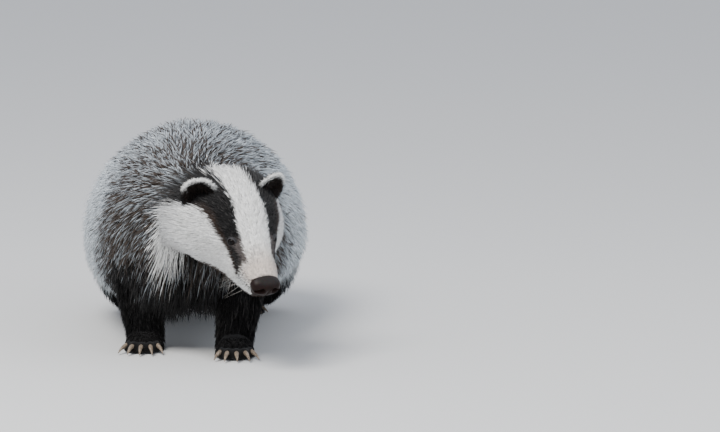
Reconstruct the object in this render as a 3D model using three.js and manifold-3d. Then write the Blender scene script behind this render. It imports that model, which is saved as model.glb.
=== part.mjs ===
// A European badger cub, about three months old, walking with its head low: a still, life-size model.
// Millimetres, +Z up. The animal faces -Y, its left side is +X, and its soles rest on Z = 0.
// Rump, trunk, neck and head are one long loft. Legs, tail, ears, lids and lips join it.
// The coat lies on them as flat, tapered locks, and thin cuts part the whole into its nodes.

import * as THREE from "three";
import { mergeVertices } from "three/addons/utils/BufferGeometryUtils.js";
import Module from "manifold-3d";

const wasm = await Module();
wasm.setup();
const { Manifold, Mesh } = wasm;

// Driving sizes
const GAP = 0.3; // between two nodes that touch
const EAR_CENTRE = [46, -90, 165]; // the point midway between the ears
const HEAD_YAW = 27; // degrees towards the animal's left
const HEAD_PITCH = 31; // degrees nose down
const EYE = { side: 21, forward: 54, up: -9, radius: 5.6 };
const EYE_OUT = { yaw: 52, rise: 12 }; // degrees from straight ahead to the way an eye looks
const LID = { ring: 5.3, tube: 1.7, out: 2.4 };
const NOSE = { forward: 99, up: -29.5, half: [15.2, 9, 9.8], tilt: 12 };
const NOSTRIL = { side: 7.2, forward: 106.5, up: -29, half: [2.3, 4, 3.1], turn: 25 };
const EAR = { side: 37, forward: -2, up: 5, half: [16.5, 6.5, 19], turn: [-14, 34, 22] };
const EAR_CUP = { side: 1.2, forward: 6.2, up: 0.6, wall: 3.6, rim: 4.4 };
const MOUTH = { corner: 0.775, front: 0.965, angle: -50, groove: 1.1, lip: 1.7, apart: 6, steps: 14, sides: 4 };
const CHIN = { side: 8, forward: 98, up: -42 }; // where the mouth line crosses the muzzle's front
const WRIST_HEIGHT = 27; // where a leg becomes a foot
const LEG_TOP = 74; // where a leg node ends inside the body
const LEG_SOCKET = 12; // how far a leg node reaches into the body around it
const TAIL_SOCKET = 5;
const ROLL = -4; // degrees the trunk leans to its right as it walks
const CORE_DEPTH = 0.5; // where locks grow, the solid body reaches this far from tips to skin
const LOCK_SEED = 10;

const radians = THREE.MathUtils.degToRad;
const turned = (angle) => [Math.cos(angle), Math.sin(angle)];

// Moves a point or shape from the head's own frame, where the head faces -Y, to its place.
const headMatrix = new THREE.Matrix4()
  .makeTranslation(...EAR_CENTRE)
  .multiply(new THREE.Matrix4().makeRotationZ(radians(HEAD_YAW)))
  .multiply(new THREE.Matrix4().makeRotationX(radians(HEAD_PITCH)));
const onHead = (side, forward, up) => new THREE.Vector3(side, -forward, up).applyMatrix4(headMatrix);

// Cross-sections from rump to nose. Each has its centre, its heading as yaw, pitch and roll, its
// half-width and its reach up and down, the depth of coat on its back, side and belly, and how
// much narrower it is on top.
// Its squareness is 2 for an ellipse and more for a fuller shape, above and below the middle.
const TRUNK_SQUARENESS = [1.9, 2.9];
const NECK_SQUARENESS = [2, 2.5];
const HEAD_SQUARENESS = [2.15, 2.4];
const trunk = (y, z, half, up, down, coat) => ({
  at: new THREE.Vector3(0, y, z),
  heading: [0, 0, y > 20 ? ROLL : ROLL / 2],
  reach: [half, up, down],
  coat,
  taper: 0,
  squareness: TRUNK_SQUARENESS,
});
const neck = (at, heading, reach, coat, taper) => ({
  at: new THREE.Vector3(...at),
  heading,
  reach,
  coat,
  taper,
  squareness: NECK_SQUARENESS,
});
const head = (forward, up, reach, coat, taper) => ({
  at: onHead(0, forward, up),
  heading: [HEAD_YAW, HEAD_PITCH, 0],
  reach,
  coat,
  taper,
  squareness: HEAD_SQUARENESS,
});
const SPINE = [
  trunk(324, 122, 32, 30, 30, [24, 24, 20]),
  trunk(306, 114, 70, 62, 52, [28, 28, 22]),
  trunk(270, 102, 102, 92, 62, [30, 28, 20]),
  trunk(220, 95, 115, 112, 60, [30, 28, 14]),
  trunk(165, 94, 114, 114, 58, [30, 27, 12]),
  trunk(105, 96, 105, 110, 56, [28, 26, 12]),
  trunk(50, 101, 94, 100, 58, [27, 24, 13]),
  trunk(4, 110, 84, 87, 62, [25, 22, 15]),
  neck([8, -34, 126], [9, 12, 0], [72, 67, 64], [21, 21, 16], 0.05),
  neck([24, -61, 140], [20, 24, 0], [62, 51, 58], [16, 19, 14], 0.08),
  head(-18, -22, [59, 40, 42], [10, 16, 12], 0.16),
  head(6, -21, [57, 43, 40], [7, 12, 9], 0.2),
  head(26, -20, [50, 41, 40], [6, 9, 7], 0.2),
  head(42, -20, [38, 33, 38], [5, 6, 6], 0.16),
  head(56, -21, [28, 25, 35], [4, 4, 5], 0.16),
  head(72, -25, [21.5, 19.5, 29], [3.5, 3.5, 4], 0.14),
  head(87, -28, [18, 15.5, 22], [3, 3, 3], 0.08),
  head(97, -30, [14.5, 11.5, 17], [2, 2, 2.5], 0),
];
const SPINE_SIDES = 28;
const NAPE = 0.53; // u where the rings grow closer, because the head has more shape than the trunk
const evenly = (count, from = 0, to = 1) =>
  Array.from({ length: count }, (_, i) => from + ((to - from) * i) / (count - 1));
const SPINE_US = [...evenly(13, 0, NAPE).slice(0, -1), ...evenly(21, NAPE, 1)];

// A smooth curve through a, b, c and d, read at t between b and c.
const through = (a, b, c, d, t) =>
  0.5 * (2 * b + (c - a) * t + (2 * a - 5 * b + 4 * c - d) * t * t + (3 * b - a - 3 * c + d) * t * t * t);

// Reads a number from a list of stations at u, from 0 at the first to 1 at the last.
function along(stations, u) {
  const last = stations.length - 1;
  const place = THREE.MathUtils.clamp(u, 0, 1) * last;
  const i = Math.min(Math.floor(place), last - 1);
  const near = [i - 1, i, i + 1, i + 2].map((k) => stations[THREE.MathUtils.clamp(k, 0, last)]);
  return (read) => through(...near.map(read), place - i);
}

// A point of the rump, trunk, neck or head at u and at an angle round it, 0 at its left and 90 degrees
// on its back. Depth is 0 at the tips of the coat and 1 on the skin. Grow moves it out.
function spinePoint(u, angle, depth = 0, grow = 0) {
  const mix = along(SPINE, u);
  const [c, n] = turned(angle);
  const above = n > 0;
  const exponent = 2 / mix((s) => s.squareness[above ? 0 : 1]);
  const sideways = mix((s) => s.reach[0] - depth * s.coat[1]) + grow;
  const upwards = mix((s) => s.reach[above ? 1 : 2] - depth * s.coat[above ? 0 : 2]) + grow;
  return new THREE.Vector3(
    sideways * Math.sign(c) * Math.abs(c) ** exponent * (1 - mix((s) => s.taper) * n),
    0,
    upwards * Math.sign(n) * Math.abs(n) ** exponent,
  )
    .applyAxisAngle(new THREE.Vector3(0, 1, 0), radians(mix((s) => s.heading[2])))
    .applyAxisAngle(new THREE.Vector3(1, 0, 0), radians(mix((s) => s.heading[1])))
    .applyAxisAngle(new THREE.Vector3(0, 0, 1), radians(mix((s) => s.heading[0])))
    .add(new THREE.Vector3(...["x", "y", "z"].map((axis) => mix((s) => s.at[axis]))));
}

// Legs: level sections from inside the body down to the foot.
// Each is [height, x, y, half-width, half-length, depth of coat].
const FORE_LEG = [
  [112, 50, 16, 26, 30, 16],
  [80, 52, 10, 26, 29, 14],
  [58, 50, 4, 24, 25, 11],
  [38, 48, 0, 22, 21, 8],
  [22, 46, -2, 20, 19, 5],
  [10, 45, -6, 19, 20, 3],
];
const HIND_LEG = [
  [112, 60, -2, 42, 52, 20],
  [82, 61, 0, 41, 48, 18],
  [58, 61, 6, 44, 42, 15],
  [38, 60, 14, 42, 36, 12],
  [22, 56, 14, 36, 29, 8],
  [10, 51, 10, 27, 24, 5],
];
const FORE_FOOT = {
  palm: { half: [19, 21, 17], at: [0, -4, 8] },
  toe: { half: [5.2, 10.5, 7.2], reach: [25, 29.5, 31, 29.5, 25], spread: 13 },
  claw: { length: 18, radius: 2.5 },
};
const HIND_FOOT = {
  palm: { half: [17, 30, 15], at: [0, 2, 7] },
  toe: { half: [4.6, 9, 6.6], reach: [25, 29, 30.5, 29, 25], spread: 14 },
  claw: { length: 11, radius: 2 },
};
const TOE_SINK = 1.4; // how far a toe's round underside is cut off by the floor
const CLAW_BEND = 38; // degrees from root to point

// Side is 1 at the animal's left, y is where the leg stands, stride moves its foot from there,
// and turn points the foot outwards.
const LEGS = {
  front_left: { side: 1, y: 4, stride: -28, sections: FORE_LEG, foot: FORE_FOOT, turn: 4 },
  front_right: { side: -1, y: 4, stride: 16, sections: FORE_LEG, foot: FORE_FOOT, turn: 4 },
  hind_left: { side: 1, y: 222, stride: 22, sections: HIND_LEG, foot: HIND_FOOT, turn: 10 },
  hind_right: { side: -1, y: 222, stride: -24, sections: HIND_LEG, foot: HIND_FOOT, turn: 10 },
};
const LEG_RINGS = 8;
const LEG_SIDES = 12;

// A point of a leg, from u = 0 at its root to 1 at the foot. The leg leans, so its stride grows
// as the height falls.
function legPoint(leg, u, angle, depth = 0, grow = 0) {
  const mix = along(leg.sections, u);
  const height = mix((s) => s[0]);
  const lean = THREE.MathUtils.clamp(1 - height / leg.sections[0][0], 0, 1);
  const cover = grow - depth * mix((s) => s[5]);
  const [c, n] = turned(-angle);
  return new THREE.Vector3(
    leg.side * mix((s) => s[1]) + (mix((s) => s[3]) + cover) * c,
    leg.y + mix((s) => s[2]) + leg.stride * lean + (mix((s) => s[4]) + cover) * n,
    height,
  );
}
const legMiddle = (leg, u) => legPoint(leg, u, 0).lerp(legPoint(leg, u, Math.PI), 0.5);

// The tail leaves the rump and hangs behind it. Its stations are [y, z, radius, depth of coat].
const TAIL = [
  [292, 136, 15, 6],
  [322, 128, 19, 8],
  [348, 108, 21, 11],
  [366, 82, 18, 11],
  [376, 58, 8, 6],
];
const TAIL_RINGS = 9;
const TAIL_SIDES = 11;
function tailPoint(u, angle, depth = 0, grow = 0) {
  const mix = along(TAIL, u);
  const at = new THREE.Vector3(0, mix((s) => s[0]), mix((s) => s[1]));
  const step = 0.01;
  const [before, after] = [along(TAIL, u - step), along(TAIL, u + step)];
  const lean = Math.atan2(after((s) => s[1]) - before((s) => s[1]), after((s) => s[0]) - before((s) => s[0]));
  const radius = mix((s) => s[2] - depth * s[3]) + grow;
  const [c, n] = turned(angle);
  return new THREE.Vector3(radius * c, 0, radius * n)
    .applyAxisAngle(new THREE.Vector3(1, 0, 0), lean)
    .add(at);
}

// A closed three.js geometry as a solid, turned right side out.
function solid(geometry, matrix = new THREE.Matrix4()) {
  const plain = geometry.clone().applyMatrix4(matrix);
  plain.deleteAttribute("normal");
  plain.deleteAttribute("uv");
  const merged = mergeVertices(plain, 1e-4);
  const vertProperties = new Float32Array(merged.attributes.position.array);
  const triVerts = new Uint32Array(merged.index.array);
  const made = new Manifold(new Mesh({ numProp: 3, vertProperties, triVerts }));
  if (made.volume() >= 0) return made;
  for (let i = 0; i < triVerts.length; i += 3)
    [triVerts[i], triVerts[i + 1]] = [triVerts[i + 1], triVerts[i]];
  return new Manifold(new Mesh({ numProp: 3, vertProperties, triVerts }));
}

// Joins rings of points into one closed shape, from the middle of the first to a tip, which is
// the middle of the last ring unless another point is given.
const middle = (ring) =>
  ring.reduce((sum, p) => sum.add(p), new THREE.Vector3()).divideScalar(ring.length);
function closedLoft(rings, tip = middle(rings[rings.length - 1])) {
  const [count, sides] = [rings.length, rings[0].length];
  const points = [...rings.flat(), middle(rings[0]), tip];
  const faces = [];
  for (let k = 0; k < sides; k++) {
    const next = (k + 1) % sides;
    for (let r = 0; r + 1 < count; r++) {
      const [a, b] = [r * sides + k, r * sides + next];
      faces.push(a, a + sides, b, b, a + sides, b + sides);
    }
    faces.push(count * sides, k, next);
    faces.push(count * sides + 1, (count - 1) * sides + next, (count - 1) * sides + k);
  }
  return solid(
    new THREE.BufferGeometry()
      .setAttribute("position", new THREE.Float32BufferAttribute(points.flatMap((p) => p.toArray()), 3))
      .setIndex(faces),
  );
}

// The loft of a surface point(u, angle) through rings at the given values of u.
const loft = (point, us, sides) =>
  closedLoft(us.map((u) => Array.from({ length: sides }, (_, k) => point(u, (2 * Math.PI * k) / sides))));

// A round bar along a smooth path, whose radius may change from its start at t = 0 to its end at 1.
function bar(points, radiusAt, steps, sides) {
  const path = new THREE.CatmullRomCurve3(points);
  const frames = path.computeFrenetFrames(steps, false);
  const ring = (r) => {
    const centre = path.getPointAt(r / steps);
    const radius = radiusAt(r / steps);
    return Array.from({ length: sides }, (_, k) => {
      const [c, n] = turned((2 * Math.PI * k) / sides);
      return centre
        .clone()
        .addScaledVector(frames.normals[r], radius * c)
        .addScaledVector(frames.binormals[r], radius * n);
    });
  };
  return closedLoft(Array.from({ length: steps + 1 }, (_, r) => ring(r)));
}

// An ellipsoid with the given half sizes, at a place in the frame of the matrix.
function ellipsoid(matrix, half, at, turn, sides) {
  const placed = matrix
    .clone()
    .multiply(new THREE.Matrix4().makeTranslation(...at))
    .multiply(new THREE.Matrix4().makeRotationFromEuler(new THREE.Euler(...turn.map(radians))))
    .multiply(new THREE.Matrix4().makeScale(...half));
  return solid(new THREE.SphereGeometry(1, ...sides), placed);
}
const grown = (half, by) => half.map((v) => v + by);
const largest = (shape) => shape.decompose().reduce((a, b) => (b.volume() > a.volume() ? b : a));

// A foot: palm, five toes in an arc and a claw on each.
function footPieces(leg) {
  const { palm, toe, claw } = leg.foot;
  const ankle = legMiddle(leg, 1);
  const place = new THREE.Matrix4()
    .makeTranslation(ankle.x, ankle.y, 0)
    .multiply(new THREE.Matrix4().makeRotationZ(radians(leg.side * leg.turn)));
  const pieces = [ellipsoid(place, palm.half, palm.at, [0, 0, 0], [10, 6])];
  toe.reach.forEach((reach, i) => {
    const fan = place
      .clone()
      .multiply(new THREE.Matrix4().makeRotationZ(radians(leg.side * (i - 2) * toe.spread)));
    const toeHeight = toe.half[2] - TOE_SINK;
    pieces.push(ellipsoid(fan, toe.half, [0, palm.at[1] - reach, toeHeight], [0, 0, 0], [6, 4]));
    const root = new THREE.Vector3(0, palm.at[1] - reach - toe.half[1] / 2, toe.half[2] + 0.6);
    const bend = radians(CLAW_BEND);
    const line = evenly(3).map((t) =>
      new THREE.Vector3(
        0,
        (-claw.length * Math.sin(bend * t)) / bend,
        (claw.length * (Math.cos(bend * t) - 1)) / bend,
      )
        .add(root)
        .applyMatrix4(fan),
    );
    pieces.push(bar(line, (t) => claw.radius * (1 - 0.82 * t), 2, 4));
  });
  return pieces;
}

// Parts of the head, side by side
const SIDES = { left: 1, right: -1 };
const eyeBall = (side, grow) =>
  ellipsoid(
    headMatrix,
    grown([EYE.radius, EYE.radius, EYE.radius], grow),
    [side * EYE.side, -EYE.forward, EYE.up],
    [0, 0, 0],
    [12, 7],
  );
function lidRing(side) {
  const matrix = headMatrix
    .clone()
    .multiply(new THREE.Matrix4().makeTranslation(side * EYE.side, -EYE.forward, EYE.up))
    .multiply(new THREE.Matrix4().makeRotationZ(radians(side * EYE_OUT.yaw)))
    .multiply(new THREE.Matrix4().makeRotationX(radians(90 - EYE_OUT.rise)))
    .multiply(new THREE.Matrix4().makeTranslation(0, 0, LID.out));
  return solid(new THREE.TorusGeometry(LID.ring, LID.tube, 6, 15), matrix);
}
function ear(side) {
  const turn = [EAR.turn[0], side * EAR.turn[1], side * EAR.turn[2]];
  const at = [side * EAR.side, -EAR.forward, EAR.up];
  const shell = ellipsoid(headMatrix, EAR.half, at, turn, [18, 11]);
  const cup = ellipsoid(
    headMatrix,
    [EAR.half[0] - EAR_CUP.wall, EAR.half[1], EAR.half[2] - EAR_CUP.rim],
    [at[0] + side * EAR_CUP.side, at[1] - EAR_CUP.forward, at[2] + EAR_CUP.up],
    turn,
    [16, 9],
  );
  return shell.subtract(cup);
}
const nosePad = (grow) =>
  ellipsoid(headMatrix, grown(NOSE.half, grow), [0, -NOSE.forward, NOSE.up], [NOSE.tilt, 0, 0], [18, 9]);
const nostril = (side) =>
  ellipsoid(
    headMatrix,
    NOSTRIL.half,
    [side * NOSTRIL.side, -NOSTRIL.forward, NOSTRIL.up],
    [0, 0, side * NOSTRIL.turn],
    [9, 6],
  );

// The line of the mouth from the right corner round the front to the left corner, moved up or down
// the muzzle by some degrees and by some millimetres in front.
function mouthLine(degreesUp, millimetresUp) {
  const onSide = (side) => {
    const angle = radians(side > 0 ? MOUTH.angle + degreesUp : 180 - MOUTH.angle - degreesUp);
    return evenly(5, MOUTH.corner, MOUTH.front).map((u) => spinePoint(u, angle));
  };
  const front = [-1, 0, 1].map((side) =>
    onHead(side * CHIN.side, CHIN.forward, CHIN.up + millimetresUp + (side ? 0 : 1)),
  );
  return [...onSide(-1), ...front, ...onSide(1).reverse()];
}
const mouthBar = (degreesUp, millimetresUp, radius) => {
  const thickness = (t) => radius * Math.sqrt(Math.sin(Math.PI * (0.03 + 0.94 * t))); // thin at both ends
  return bar(mouthLine(degreesUp, millimetresUp), thickness, MOUTH.steps, MOUTH.sides);
};
const lips = () => [
  mouthBar(MOUTH.apart, MOUTH.lip, MOUTH.lip),
  mouthBar(-MOUTH.apart, -MOUTH.lip, MOUTH.lip),
];

const material = (hex, roughness) =>
  new THREE.MeshStandardMaterial({ color: hex, roughness, metalness: 0 });
const FACE = material(0xd9d6cf, 0.85);
const COAT = material(0x8b8b88, 0.9);
const DARK = material(0x1d1b1b, 0.9);
const PAD = material(0x3a302d, 0.45);
const EYEBALL = material(0x0d0b0a, 0.08);

const root = new THREE.Group();
function addNode(name, shape, finish) {
  const { numProp, vertProperties, triVerts } = largest(shape).getMesh();
  const points = new Float32Array((vertProperties.length / numProp) * 3);
  for (let i = 0; i * numProp < vertProperties.length; i++)
    points.set(vertProperties.subarray(i * numProp, i * numProp + 3), i * 3);
  const geometry = new THREE.BufferGeometry()
    .setAttribute("position", new THREE.BufferAttribute(points, 3))
    .setIndex(new THREE.BufferAttribute(triVerts, 1));
  geometry.computeVertexNormals();
  const mesh = new THREE.Mesh(geometry, finish);
  mesh.name = name;
  root.add(mesh);
}

// The core reaches half way to the tips of the coat where locks grow. It comes up to the tips
// where the fur is short: over BARE_FACE on the head, and over BARE_LEG down each leg to its foot.
const BARE_FACE = [0.61, 0.72];
const BARE_LEG = [0.5, 0.9];
const fade = (value, from, to) => 1 - THREE.MathUtils.smoothstep(value, from, to);
const spineCore = (u) => CORE_DEPTH * fade(u, ...BARE_FACE);
const legCore = (u) => CORE_DEPTH * fade(u, ...BARE_LEG);
const spineLoft = (grow) => loft((u, a) => spinePoint(u, a, spineCore(u), grow), SPINE_US, SPINE_SIDES);
const legLoft = (leg, depthAt, grow) =>
  loft((u, a) => legPoint(leg, u, a, depthAt(u), grow), evenly(LEG_RINGS), LEG_SIDES);
const tailLoft = (depth, grow, from = 0) =>
  loft((u, a) => tailPoint(u, a, depth, grow), evenly(TAIL_RINGS, from, 1), TAIL_SIDES);

// A lock is a three-sided blade, flat underneath, that starts inside the core and bends out
// to the tips of the coat. Each step is a share of its length, width and thickness, and a depth.
const LOCK_STEPS = [
  { along: 0, width: 0.8, thickness: 1, depth: 0.9 },
  { along: 0.55, width: 1, thickness: 0.8, depth: 0.24 },
];
function lock(point, root, run, width, thickness) {
  const at = (t, depth) => point(root[0] + run[0] * t, root[1] + run[1] * t, depth);
  const chord = at(1, CORE_DEPTH).sub(at(0, CORE_DEPTH));
  const rings = LOCK_STEPS.map((step) => {
    const centre = at(step.along, step.depth);
    const outward = centre.clone().sub(at(step.along, step.depth + 0.1)).normalize();
    const edge = chord.clone().cross(outward).setLength((width * step.width) / 2);
    const ridge = outward.multiplyScalar(thickness * step.thickness);
    return [centre.clone().add(edge), centre.clone().add(ridge), centre.clone().sub(edge)];
  });
  return closedLoft(rings, at(1, 0));
}
const SHORTEST = 0.6; // a lock is left out where a bend in the body leaves it less of its length

let drawn = LOCK_SEED;
function random() {
  drawn = (drawn * 1103515245 + 12345) % 2147483648;
  return drawn / 2147483648;
}
const vary = (share) => 1 + share * (2 * random() - 1);

// Fills a stretch of a surface with rows of locks, every second row moved by half a column.
// Way is 1 where u grows along the lie of the coat and -1 where it falls. Locks on the
// flanks droop, so their angle turns towards the belly.
function lockRows(point, patch) {
  const { us, angles, way, size, droop } = patch;
  const [rows, columns] = patch.grid;
  const column = (angles[1] - angles[0]) / columns;
  return evenly(rows, ...us).flatMap((rowU, row) =>
    Array.from({ length: columns }).flatMap((_, k) => {
      const degrees = angles[0] + column * (k + (row % 2 ? 0.75 : 0.25) + 0.16 * (2 * random() - 1));
      const angle = radians(degrees);
      const u = rowU + 0.2 * (random() - 0.5) * ((us[1] - us[0]) / rows);
      const speed = point(u + 0.01, angle, 0.3).distanceTo(point(u - 0.01, angle, 0.3)) / 0.02;
      const reach = THREE.MathUtils.clamp(u + (way * size.length * vary(0.16)) / speed, 0.004, 0.996) - u;
      const turn = -droop * Math.cos(angle) * vary(0.4) + 0.07 * (2 * random() - 1);
      const [start, end] = [point(u, angle, CORE_DEPTH), point(u + reach, angle + turn, CORE_DEPTH)];
      if (start.distanceTo(end) < SHORTEST * size.length) return [];
      return lock(point, [u, angle], [reach, turn], size.width * vary(0.15), size.thickness * vary(0.15));
    }),
  );
}
const TRUNK_LOCK = { length: 70, width: 40, thickness: 7 };
const NECK_LOCK = { length: 48, width: 27, thickness: 6 };
const CHEEK_LOCK = { length: 32, width: 17, thickness: 4 };
const TAIL_LOCK = { length: 46, width: 15, thickness: 4 };
const THIGH_LOCK = { length: 34, width: 19, thickness: 4 };
const SPINE_PATCHES = [
  { us: [0.1, 0.42], angles: [-52, 232], grid: [8, 11], way: -1, size: TRUNK_LOCK, droop: 0.28 },
  { us: [0.46, 0.545], angles: [-75, 255], grid: [3, 9], way: -1, size: NECK_LOCK, droop: 0.3 },
  { us: [0.605, 0.65], angles: [-50, 18], grid: [2, 3], way: -1, size: CHEEK_LOCK, droop: 0.35 },
  { us: [0.605, 0.65], angles: [162, 230], grid: [2, 3], way: -1, size: CHEEK_LOCK, droop: 0.35 },
];
const TAIL_PATCH = { us: [0.22, 0.62], angles: [0, 360], grid: [3, 4], way: 1, size: TAIL_LOCK, droop: 0 };
const THIGH_PATCH = { us: [0.42, 0.6], angles: [0, 360], grid: [2, 4], way: 1, size: THIGH_LOCK, droop: 0 };

// The whole body, before it is parted
const legs = Object.values(LEGS);
const hindLegs = [LEGS.hind_left, LEGS.hind_right];
let body = Manifold.union([
  spineLoft(0),
  tailLoft(CORE_DEPTH, 0),
  ...legs.map((leg) => legLoft(leg, legCore, 0)),
  ...SPINE_PATCHES.flatMap((patch) => lockRows(spinePoint, patch)),
  ...lockRows(tailPoint, TAIL_PATCH),
  ...hindLegs.flatMap((leg) => lockRows((u, angle, depth) => legPoint(leg, u, angle, depth), THIGH_PATCH)),
]);

// Legs and feet, cut flat where they meet the floor
const atTips = () => 0;
const legZone = (leg, grow) =>
  legLoft(leg, atTips, LEG_SOCKET + grow).trimByPlane([0, 0, -1], -LEG_TOP - grow);
for (const [name, leg] of Object.entries(LEGS)) {
  const whole = Manifold.union([body.intersect(legZone(leg, 0)), ...footPieces(leg)]);
  const standing = whole.trimByPlane([0, 0, 1], 0);
  addNode("leg_" + name, standing.trimByPlane([0, 0, 1], WRIST_HEIGHT + GAP / 2), DARK);
  addNode("foot_" + name, standing.trimByPlane([0, 0, -1], -(WRIST_HEIGHT - GAP / 2)), DARK);
  body = body.subtract(legZone(leg, GAP));
}

// Tail, whose root sits in a socket of the rump
const TAIL_FROM = 0.16; // u where the tail node starts
addNode("tail", body.intersect(tailLoft(0, TAIL_SOCKET, TAIL_FROM)), COAT);
body = body.subtract(tailLoft(0, TAIL_SOCKET + GAP, TAIL_FROM - 0.003));

// Splits a solid in two by a plane, and leaves half the gap on each side of it.
function parted(shape, normal, point) {
  const offset = normal.dot(point);
  const [n, back] = [normal.toArray(), normal.clone().negate().toArray()];
  return [shape.trimByPlane(n, offset + GAP / 2), shape.trimByPlane(back, -offset + GAP / 2)];
}
const HEAD_CUT = { pitch: 6, point: onHead(0, -40, 18) };
const NECK_CUT = { normal: new THREE.Vector3(0.12, -1, 0.42), point: new THREE.Vector3(0, -12, 186) };
const headCutNormal = new THREE.Vector3(0, -1, 0)
  .applyAxisAngle(new THREE.Vector3(1, 0, 0), radians(HEAD_CUT.pitch))
  .applyAxisAngle(new THREE.Vector3(0, 0, 1), radians(HEAD_YAW));
const [headWhole, behind] = parted(body, headCutNormal, HEAD_CUT.point);
const [neckPart, torso] = parted(behind, NECK_CUT.normal.normalize(), NECK_CUT.point);

// Head, with its lids, lips and mouth line, and the parts set into it
const cutFromHead = [eyeBall(1, GAP), eyeBall(-1, GAP), nosePad(GAP), mouthBar(0, 0, MOUTH.groove)];
const skull = Manifold.union([headWhole, lidRing(1), lidRing(-1), ...lips()]);
addNode("head", skull.subtract(Manifold.union(cutFromHead)), FACE);
addNode("nose", nosePad(0).subtract(nostril(1)).subtract(nostril(-1)), PAD);
for (const [name, side] of Object.entries(SIDES)) {
  addNode("eye_" + name, eyeBall(side, 0), EYEBALL);
  addNode("ear_" + name, ear(side).subtract(spineLoft(GAP)), DARK);
}
addNode("neck", neckPart, COAT);
addNode("torso", torso, COAT);

// The origin is the middle of the bounding box, level with the soles.
const bounds = new THREE.Box3().setFromObject(root);
const centre = bounds.getCenter(new THREE.Vector3());
for (const mesh of root.children) mesh.geometry.translate(-centre.x, -centre.y, -bounds.min.z);

export default root;
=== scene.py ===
# %% [markdown]
# # A European badger cub in Blender
# A young badger is a round body, a wedge of a head and, above all, its coat. The packed
# solids give the true outline. This lesson lays one smooth skin inside them, works out the
# stripes of the face as plain functions, and then grows every tuft of fur as a thin mesh spike.
# Particle hair would be quicker to comb, but it is lost when a model is exported, so the
# fur is made of numbers instead: whole arrays of roots, paths and rings.

# %% Load the frame
import math

import bpy
import numpy as np
from mathutils import Matrix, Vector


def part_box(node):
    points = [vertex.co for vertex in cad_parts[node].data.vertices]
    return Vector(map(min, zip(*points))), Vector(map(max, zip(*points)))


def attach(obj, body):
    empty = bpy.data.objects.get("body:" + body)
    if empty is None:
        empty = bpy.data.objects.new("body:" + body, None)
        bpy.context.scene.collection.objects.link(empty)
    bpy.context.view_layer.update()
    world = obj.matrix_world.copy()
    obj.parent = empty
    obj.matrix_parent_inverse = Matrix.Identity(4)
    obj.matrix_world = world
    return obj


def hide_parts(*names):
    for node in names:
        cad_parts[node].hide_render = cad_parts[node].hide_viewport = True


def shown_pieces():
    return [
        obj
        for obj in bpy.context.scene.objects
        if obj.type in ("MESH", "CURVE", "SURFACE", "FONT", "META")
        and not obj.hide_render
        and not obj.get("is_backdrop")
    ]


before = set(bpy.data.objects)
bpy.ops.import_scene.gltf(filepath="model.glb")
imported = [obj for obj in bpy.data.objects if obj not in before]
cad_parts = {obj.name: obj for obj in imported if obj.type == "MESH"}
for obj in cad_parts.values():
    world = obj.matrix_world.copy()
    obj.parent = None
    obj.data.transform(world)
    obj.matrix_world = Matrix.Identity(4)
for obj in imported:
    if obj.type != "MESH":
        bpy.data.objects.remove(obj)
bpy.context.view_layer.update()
rng = np.random.default_rng(7)

# %% [markdown]
# The animal is measured in millimetres from a point on the floor between its fore feet.
# The head has a frame of its own: side to the animal's left, forward to its nose, and up.
# It is turned towards the left and nose down, and the other measures build on that frame.

# %% Frames and small helpers
MM = 0.001
HEAD_YAW = math.radians(27)
HEAD_PITCH = math.radians(31)
EAR_CENTRE = np.array([46.0, -90.0, 165.0])
EYE = {"side": 21.0, "forward": 54.0, "up": -9.0, "radius": 5.1, "yaw": 52.0, "rise": 12.0}


def turn_about(axis, angle):
    """The 3 x 3 matrix that turns by an angle about the x, y or z axis."""
    return np.array(Matrix.Rotation(angle, 3, axis))


HEAD_TURN = turn_about("Z", HEAD_YAW) @ turn_about("X", HEAD_PITCH)


def on_head(side, forward, up):
    """A point given in the head's frame, turned by pitch and yaw and moved between the ears."""
    local = np.stack(np.broadcast_arrays(side, -np.asarray(forward), up), -1).astype(float)
    return local @ HEAD_TURN.T + EAR_CENTRE


def to_head(points):
    """The reverse of on_head: side, forward and up of points of the animal."""
    local = (points - EAR_CENTRE) @ HEAD_TURN
    return local[..., 0], -local[..., 1], local[..., 2]


eye_low, eye_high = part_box("eye_left")
eye_middle = (np.array(eye_low) + np.array(eye_high)) / 2 / MM
SHIFT = eye_middle - on_head(EYE["side"], EYE["forward"], EYE["up"])
SHIFT[2] = 0.0
print("the frame's origin lies at", (-SHIFT).round(2), "mm of the measures below")


def smooth(value, low, high):
    """0 below low and 1 above high, with the S-shaped curve 3t^2 - 2t^3 between them."""
    t = np.clip((np.asarray(value, float) - low) / (high - low), 0, 1)
    return t * t * (3 - 2 * t)


def unit(vectors):
    """Vectors scaled to length 1."""
    return vectors / np.maximum(np.linalg.norm(vectors, axis=-1, keepdims=True), 1e-9)


def make_mesh(name, points, faces, shade_smooth=True):
    """A mesh object at the origin from points in millimetres and faces of 3 or 4 corners. Where
    the sum of all a . (b x c), six times the volume, is negative, the faces are turned outwards."""
    mesh = bpy.data.meshes.new(name)
    faces = np.asarray(faces, np.int32)
    corner = (points - points.mean(0))[faces]
    fans = range(1, faces.shape[1] - 1)
    volume = sum((corner[:, 0] * np.cross(corner[:, k], corner[:, k + 1])).sum() for k in fans)
    if volume < 0:
        faces = faces[:, ::-1]
    count, corners = faces.shape
    mesh.vertices.add(len(points))
    mesh.vertices.foreach_set("co", ((points + SHIFT) * MM).astype(np.float32).ravel())
    mesh.loops.add(count * corners)
    mesh.loops.foreach_set("vertex_index", faces.ravel())
    mesh.polygons.add(count)
    mesh.polygons.foreach_set("loop_start", np.arange(0, count * corners, corners, dtype=np.int32))
    mesh.polygons.foreach_set("use_smooth", np.full(count, shade_smooth))
    mesh.update(calc_edges=True)
    piece = bpy.data.objects.new(name, mesh)
    bpy.context.collection.objects.link(piece)
    return piece


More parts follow.
